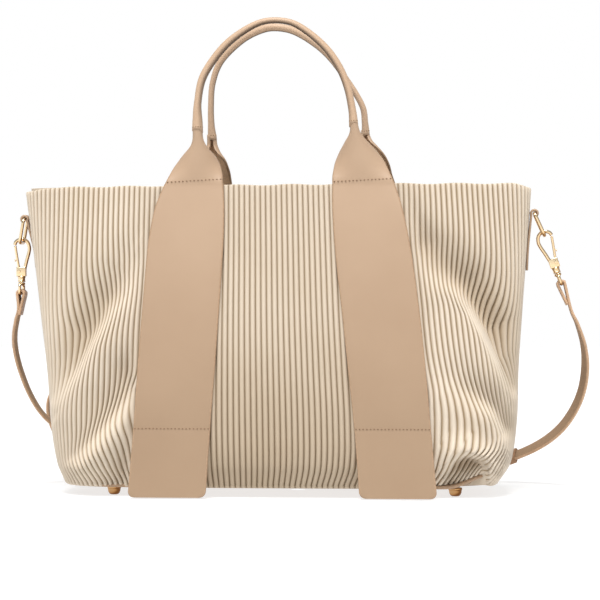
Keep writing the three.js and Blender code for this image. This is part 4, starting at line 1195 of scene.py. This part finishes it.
def shoulderStrap():
    route = [[r["x"], r["y"], r["z"], r["turn"]] for r in shoulder["route"]]
    begin = strapEnd("Left", shoulder["route"][0])
    end = strapEnd("Right", shoulder["route"][-1])[::-1]
    path = smoothPath(begin + route + end, shoulder["steps"])
    frames = ribbonFrames(path)
    outline = roundedBand(shoulder["width"] / 2, shoulder["thickness"] / 2, shoulder["faceSteps"],
                          shoulder["edgeSteps"])
    rings = [spot[:3] + np.outer(outline[:, 0], across) + np.outer(outline[:, 1], square)
             for spot, (tangent, across, square) in zip(path, frames)]
    points, faces = skinRings(rings)
    place = np.arange(len(faces) - 2) % len(outline)
    face = shoulder["faceSteps"] - 1
    edge = place % (len(outline) // 2) >= face
    kinds = np.concatenate([np.where(edge, 1, np.where(place < face, 2, 0)), [1, 1]])
    made = makeObject("shoulderStrap", points, faces, [shoulderLeather, shoulderEdge, fleshSide],
                      faceMaterials=kinds)
    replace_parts(outwards(made), "shoulder_strap")
    length = np.linalg.norm(np.diff(path[:, :3], axis=0), axis=1).sum()
    print("shoulder strap", round(length), "mm long with its folded ends")
    spot = next(r for r in shoulder["route"] if r["x"] == shoulder["keeperX"])
    nearest = np.linalg.norm(path[:, :3] - [spot["x"], spot["y"], spot["z"]], axis=1).argmin()
    keeper(path[nearest, :3], *frames[nearest])


def keeper(centre, tangent, across, square):
    rings = []
    wallThick = shoulder["keeperWall"] / 2
    half = shoulder["keeperLength"] / 2
    outline = roundedBand(half, wallThick, shoulder["keeperSteps"], shoulder["keeperSteps"])
    a = shoulder["width"] / 2 + shoulder["keeperPlay"] + wallThick
    b = shoulder["thickness"] / 2 + shoulder["keeperPlay"] + wallThick
    corner = shoulder["keeperCorner"]
    corners = ((a - corner, b - corner, 0), (corner - a, b - corner, 90), (corner - a, corner - b, 180),
               (a - corner, corner - b, 270))
    for ca, cb, start in corners:
        for angle in np.radians(np.linspace(start, start + 90, shoulder["keeperTurns"])):
            outward = across * math.cos(angle) + square * math.sin(angle)
            spot = centre + across * ca + square * cb + outward * corner
            rings.append(spot + np.outer(outline[:, 0], tangent) + np.outer(outline[:, 1], outward))
    points, faces = skinRings(rings, closedAlong=True)
    made = makeObject("strapKeeper", points, faces, [shoulderLeather])
    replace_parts(outwards(made), "strap_keeper")


shoulderStrap()


# stage, light and camera

view = {"distance": 2000.0, "azimuth": 4.0, "height": 162.0, "pixelSize": 0.85, "middlePixel": 281.0,
        "frameWidth": 600.0, "sensor": 36.0}
stage = {
    "floorRadius": 6000.0, "floorSides": 48, "floorTones": [(0.3, 0.29), (0.7, 0.31)], "floorGlow": 0.72,
    "skyTones": [(0.575, 1.0), (0.68, 0.34)],
    "sunFrom": (-0.05, -0.38, 1.0), "sunPower": 4.0, "sunSpread": 26,
    "fillSpot": (1.9, -1.7, 1.0), "fillAim": (0, 0, 0.2), "fillSize": 1.4, "fillPower": 2,
}


def photoCamera():
    a = math.radians(view["azimuth"])
    right = np.array([math.cos(a), math.sin(a), 0.0])
    back = np.array([math.sin(a), -math.cos(a), 0.0])
    aside = (view["frameWidth"] / 2 - view["middlePixel"]) * view["pixelSize"]
    spot = back * view["distance"] + right * aside + np.array([0, 0, view["height"]])
    data = bpy.data.cameras.new("photoCamera")
    data.sensor_width = view["sensor"]
    data.lens = view["sensor"] * view["distance"] / (view["pixelSize"] * view["frameWidth"])
    made = addObject("photoCamera", data)
    made.location = Vector(spot * mm + bagOrigin)
    made.rotation_euler = (math.pi / 2, 0.0, a)
    bpy.context.scene.camera = made


def addLight(name, kind, power, direction):
    data = bpy.data.lights.new(name, kind)
    data.energy = power
    made = addObject(name, data)
    made.rotation_euler = direction.to_track_quat("-Z", "Y").to_euler()
    return made


def greys(shadeToLightTones):
    return [(place, (grey, grey, grey)) for place, grey in shadeToLightTones]


def studioSky():
    # white all round the horizon, dimmer overhead
    world = bpy.data.worlds.new("studioSky")
    world.use_nodes = True
    tree = world.node_tree
    where = addNode(tree, "ShaderNodeTexCoord")
    split = addNode(tree, "ShaderNodeSeparateXYZ")
    tree.links.new(where.outputs["Generated"], split.inputs["Vector"])
    height = rangeOf(tree, split.outputs["Z"], 0.0, 1.0)
    height.node.inputs["From Min"].default_value = -1.0
    colour = colourRamp(tree, height, greys(stage["skyTones"]))
    tree.links.new(colour, tree.nodes["Background"].inputs["Color"])
    bpy.context.scene.world = world


def studioFloor():
    profile = [(0.0, 0.0), (0.6, 0.0), (1.0, 0.0)]
    rings = latheRings(profile, stage["floorRadius"], 0.0, stage["floorSides"], (0, 0, 0))
    points, faces = skinRings(rings, capEnds=False)
    mesh = bpy.data.meshes.new("studioFloor")
    mesh.from_pydata((points * mm).tolist(), [], faces)
    finish, tree, shader = newMaterial("paleFloor")
    grain = noiseAt(tree, 3.0, 2.0)
    colour = colourRamp(tree, grain.outputs["Fac"], greys(stage["floorTones"]))
    tree.links.new(colour, shader.inputs["Base Color"])
    shader.inputs["Roughness"].default_value = 0.9
    # a lit sweep: its own glow keeps the shadow faint
    shader.inputs["Emission Color"].default_value = (1.0, 1.0, 1.0, 1.0)
    shader.inputs["Emission Strength"].default_value = stage["floorGlow"]
    mesh.materials.append(finish)
    floor = addObject("studioFloor", mesh)


def studio():
    studioFloor()
    studioSky()
    sun = addLight("windowLight", "SUN", stage["sunPower"], -Vector(stage["sunFrom"]))
    sun.data.angle = math.radians(stage["sunSpread"])
    spot = Vector(stage["fillSpot"])
    fill = addLight("fillLight", "AREA", stage["fillPower"], Vector(stage["fillAim"]) - spot)
    fill.data.size = stage["fillSize"]
    fill.location = spot
    bpy.context.scene.view_settings.view_transform = "Standard"


photoCamera()
studio()
print("stage, light and camera ready")
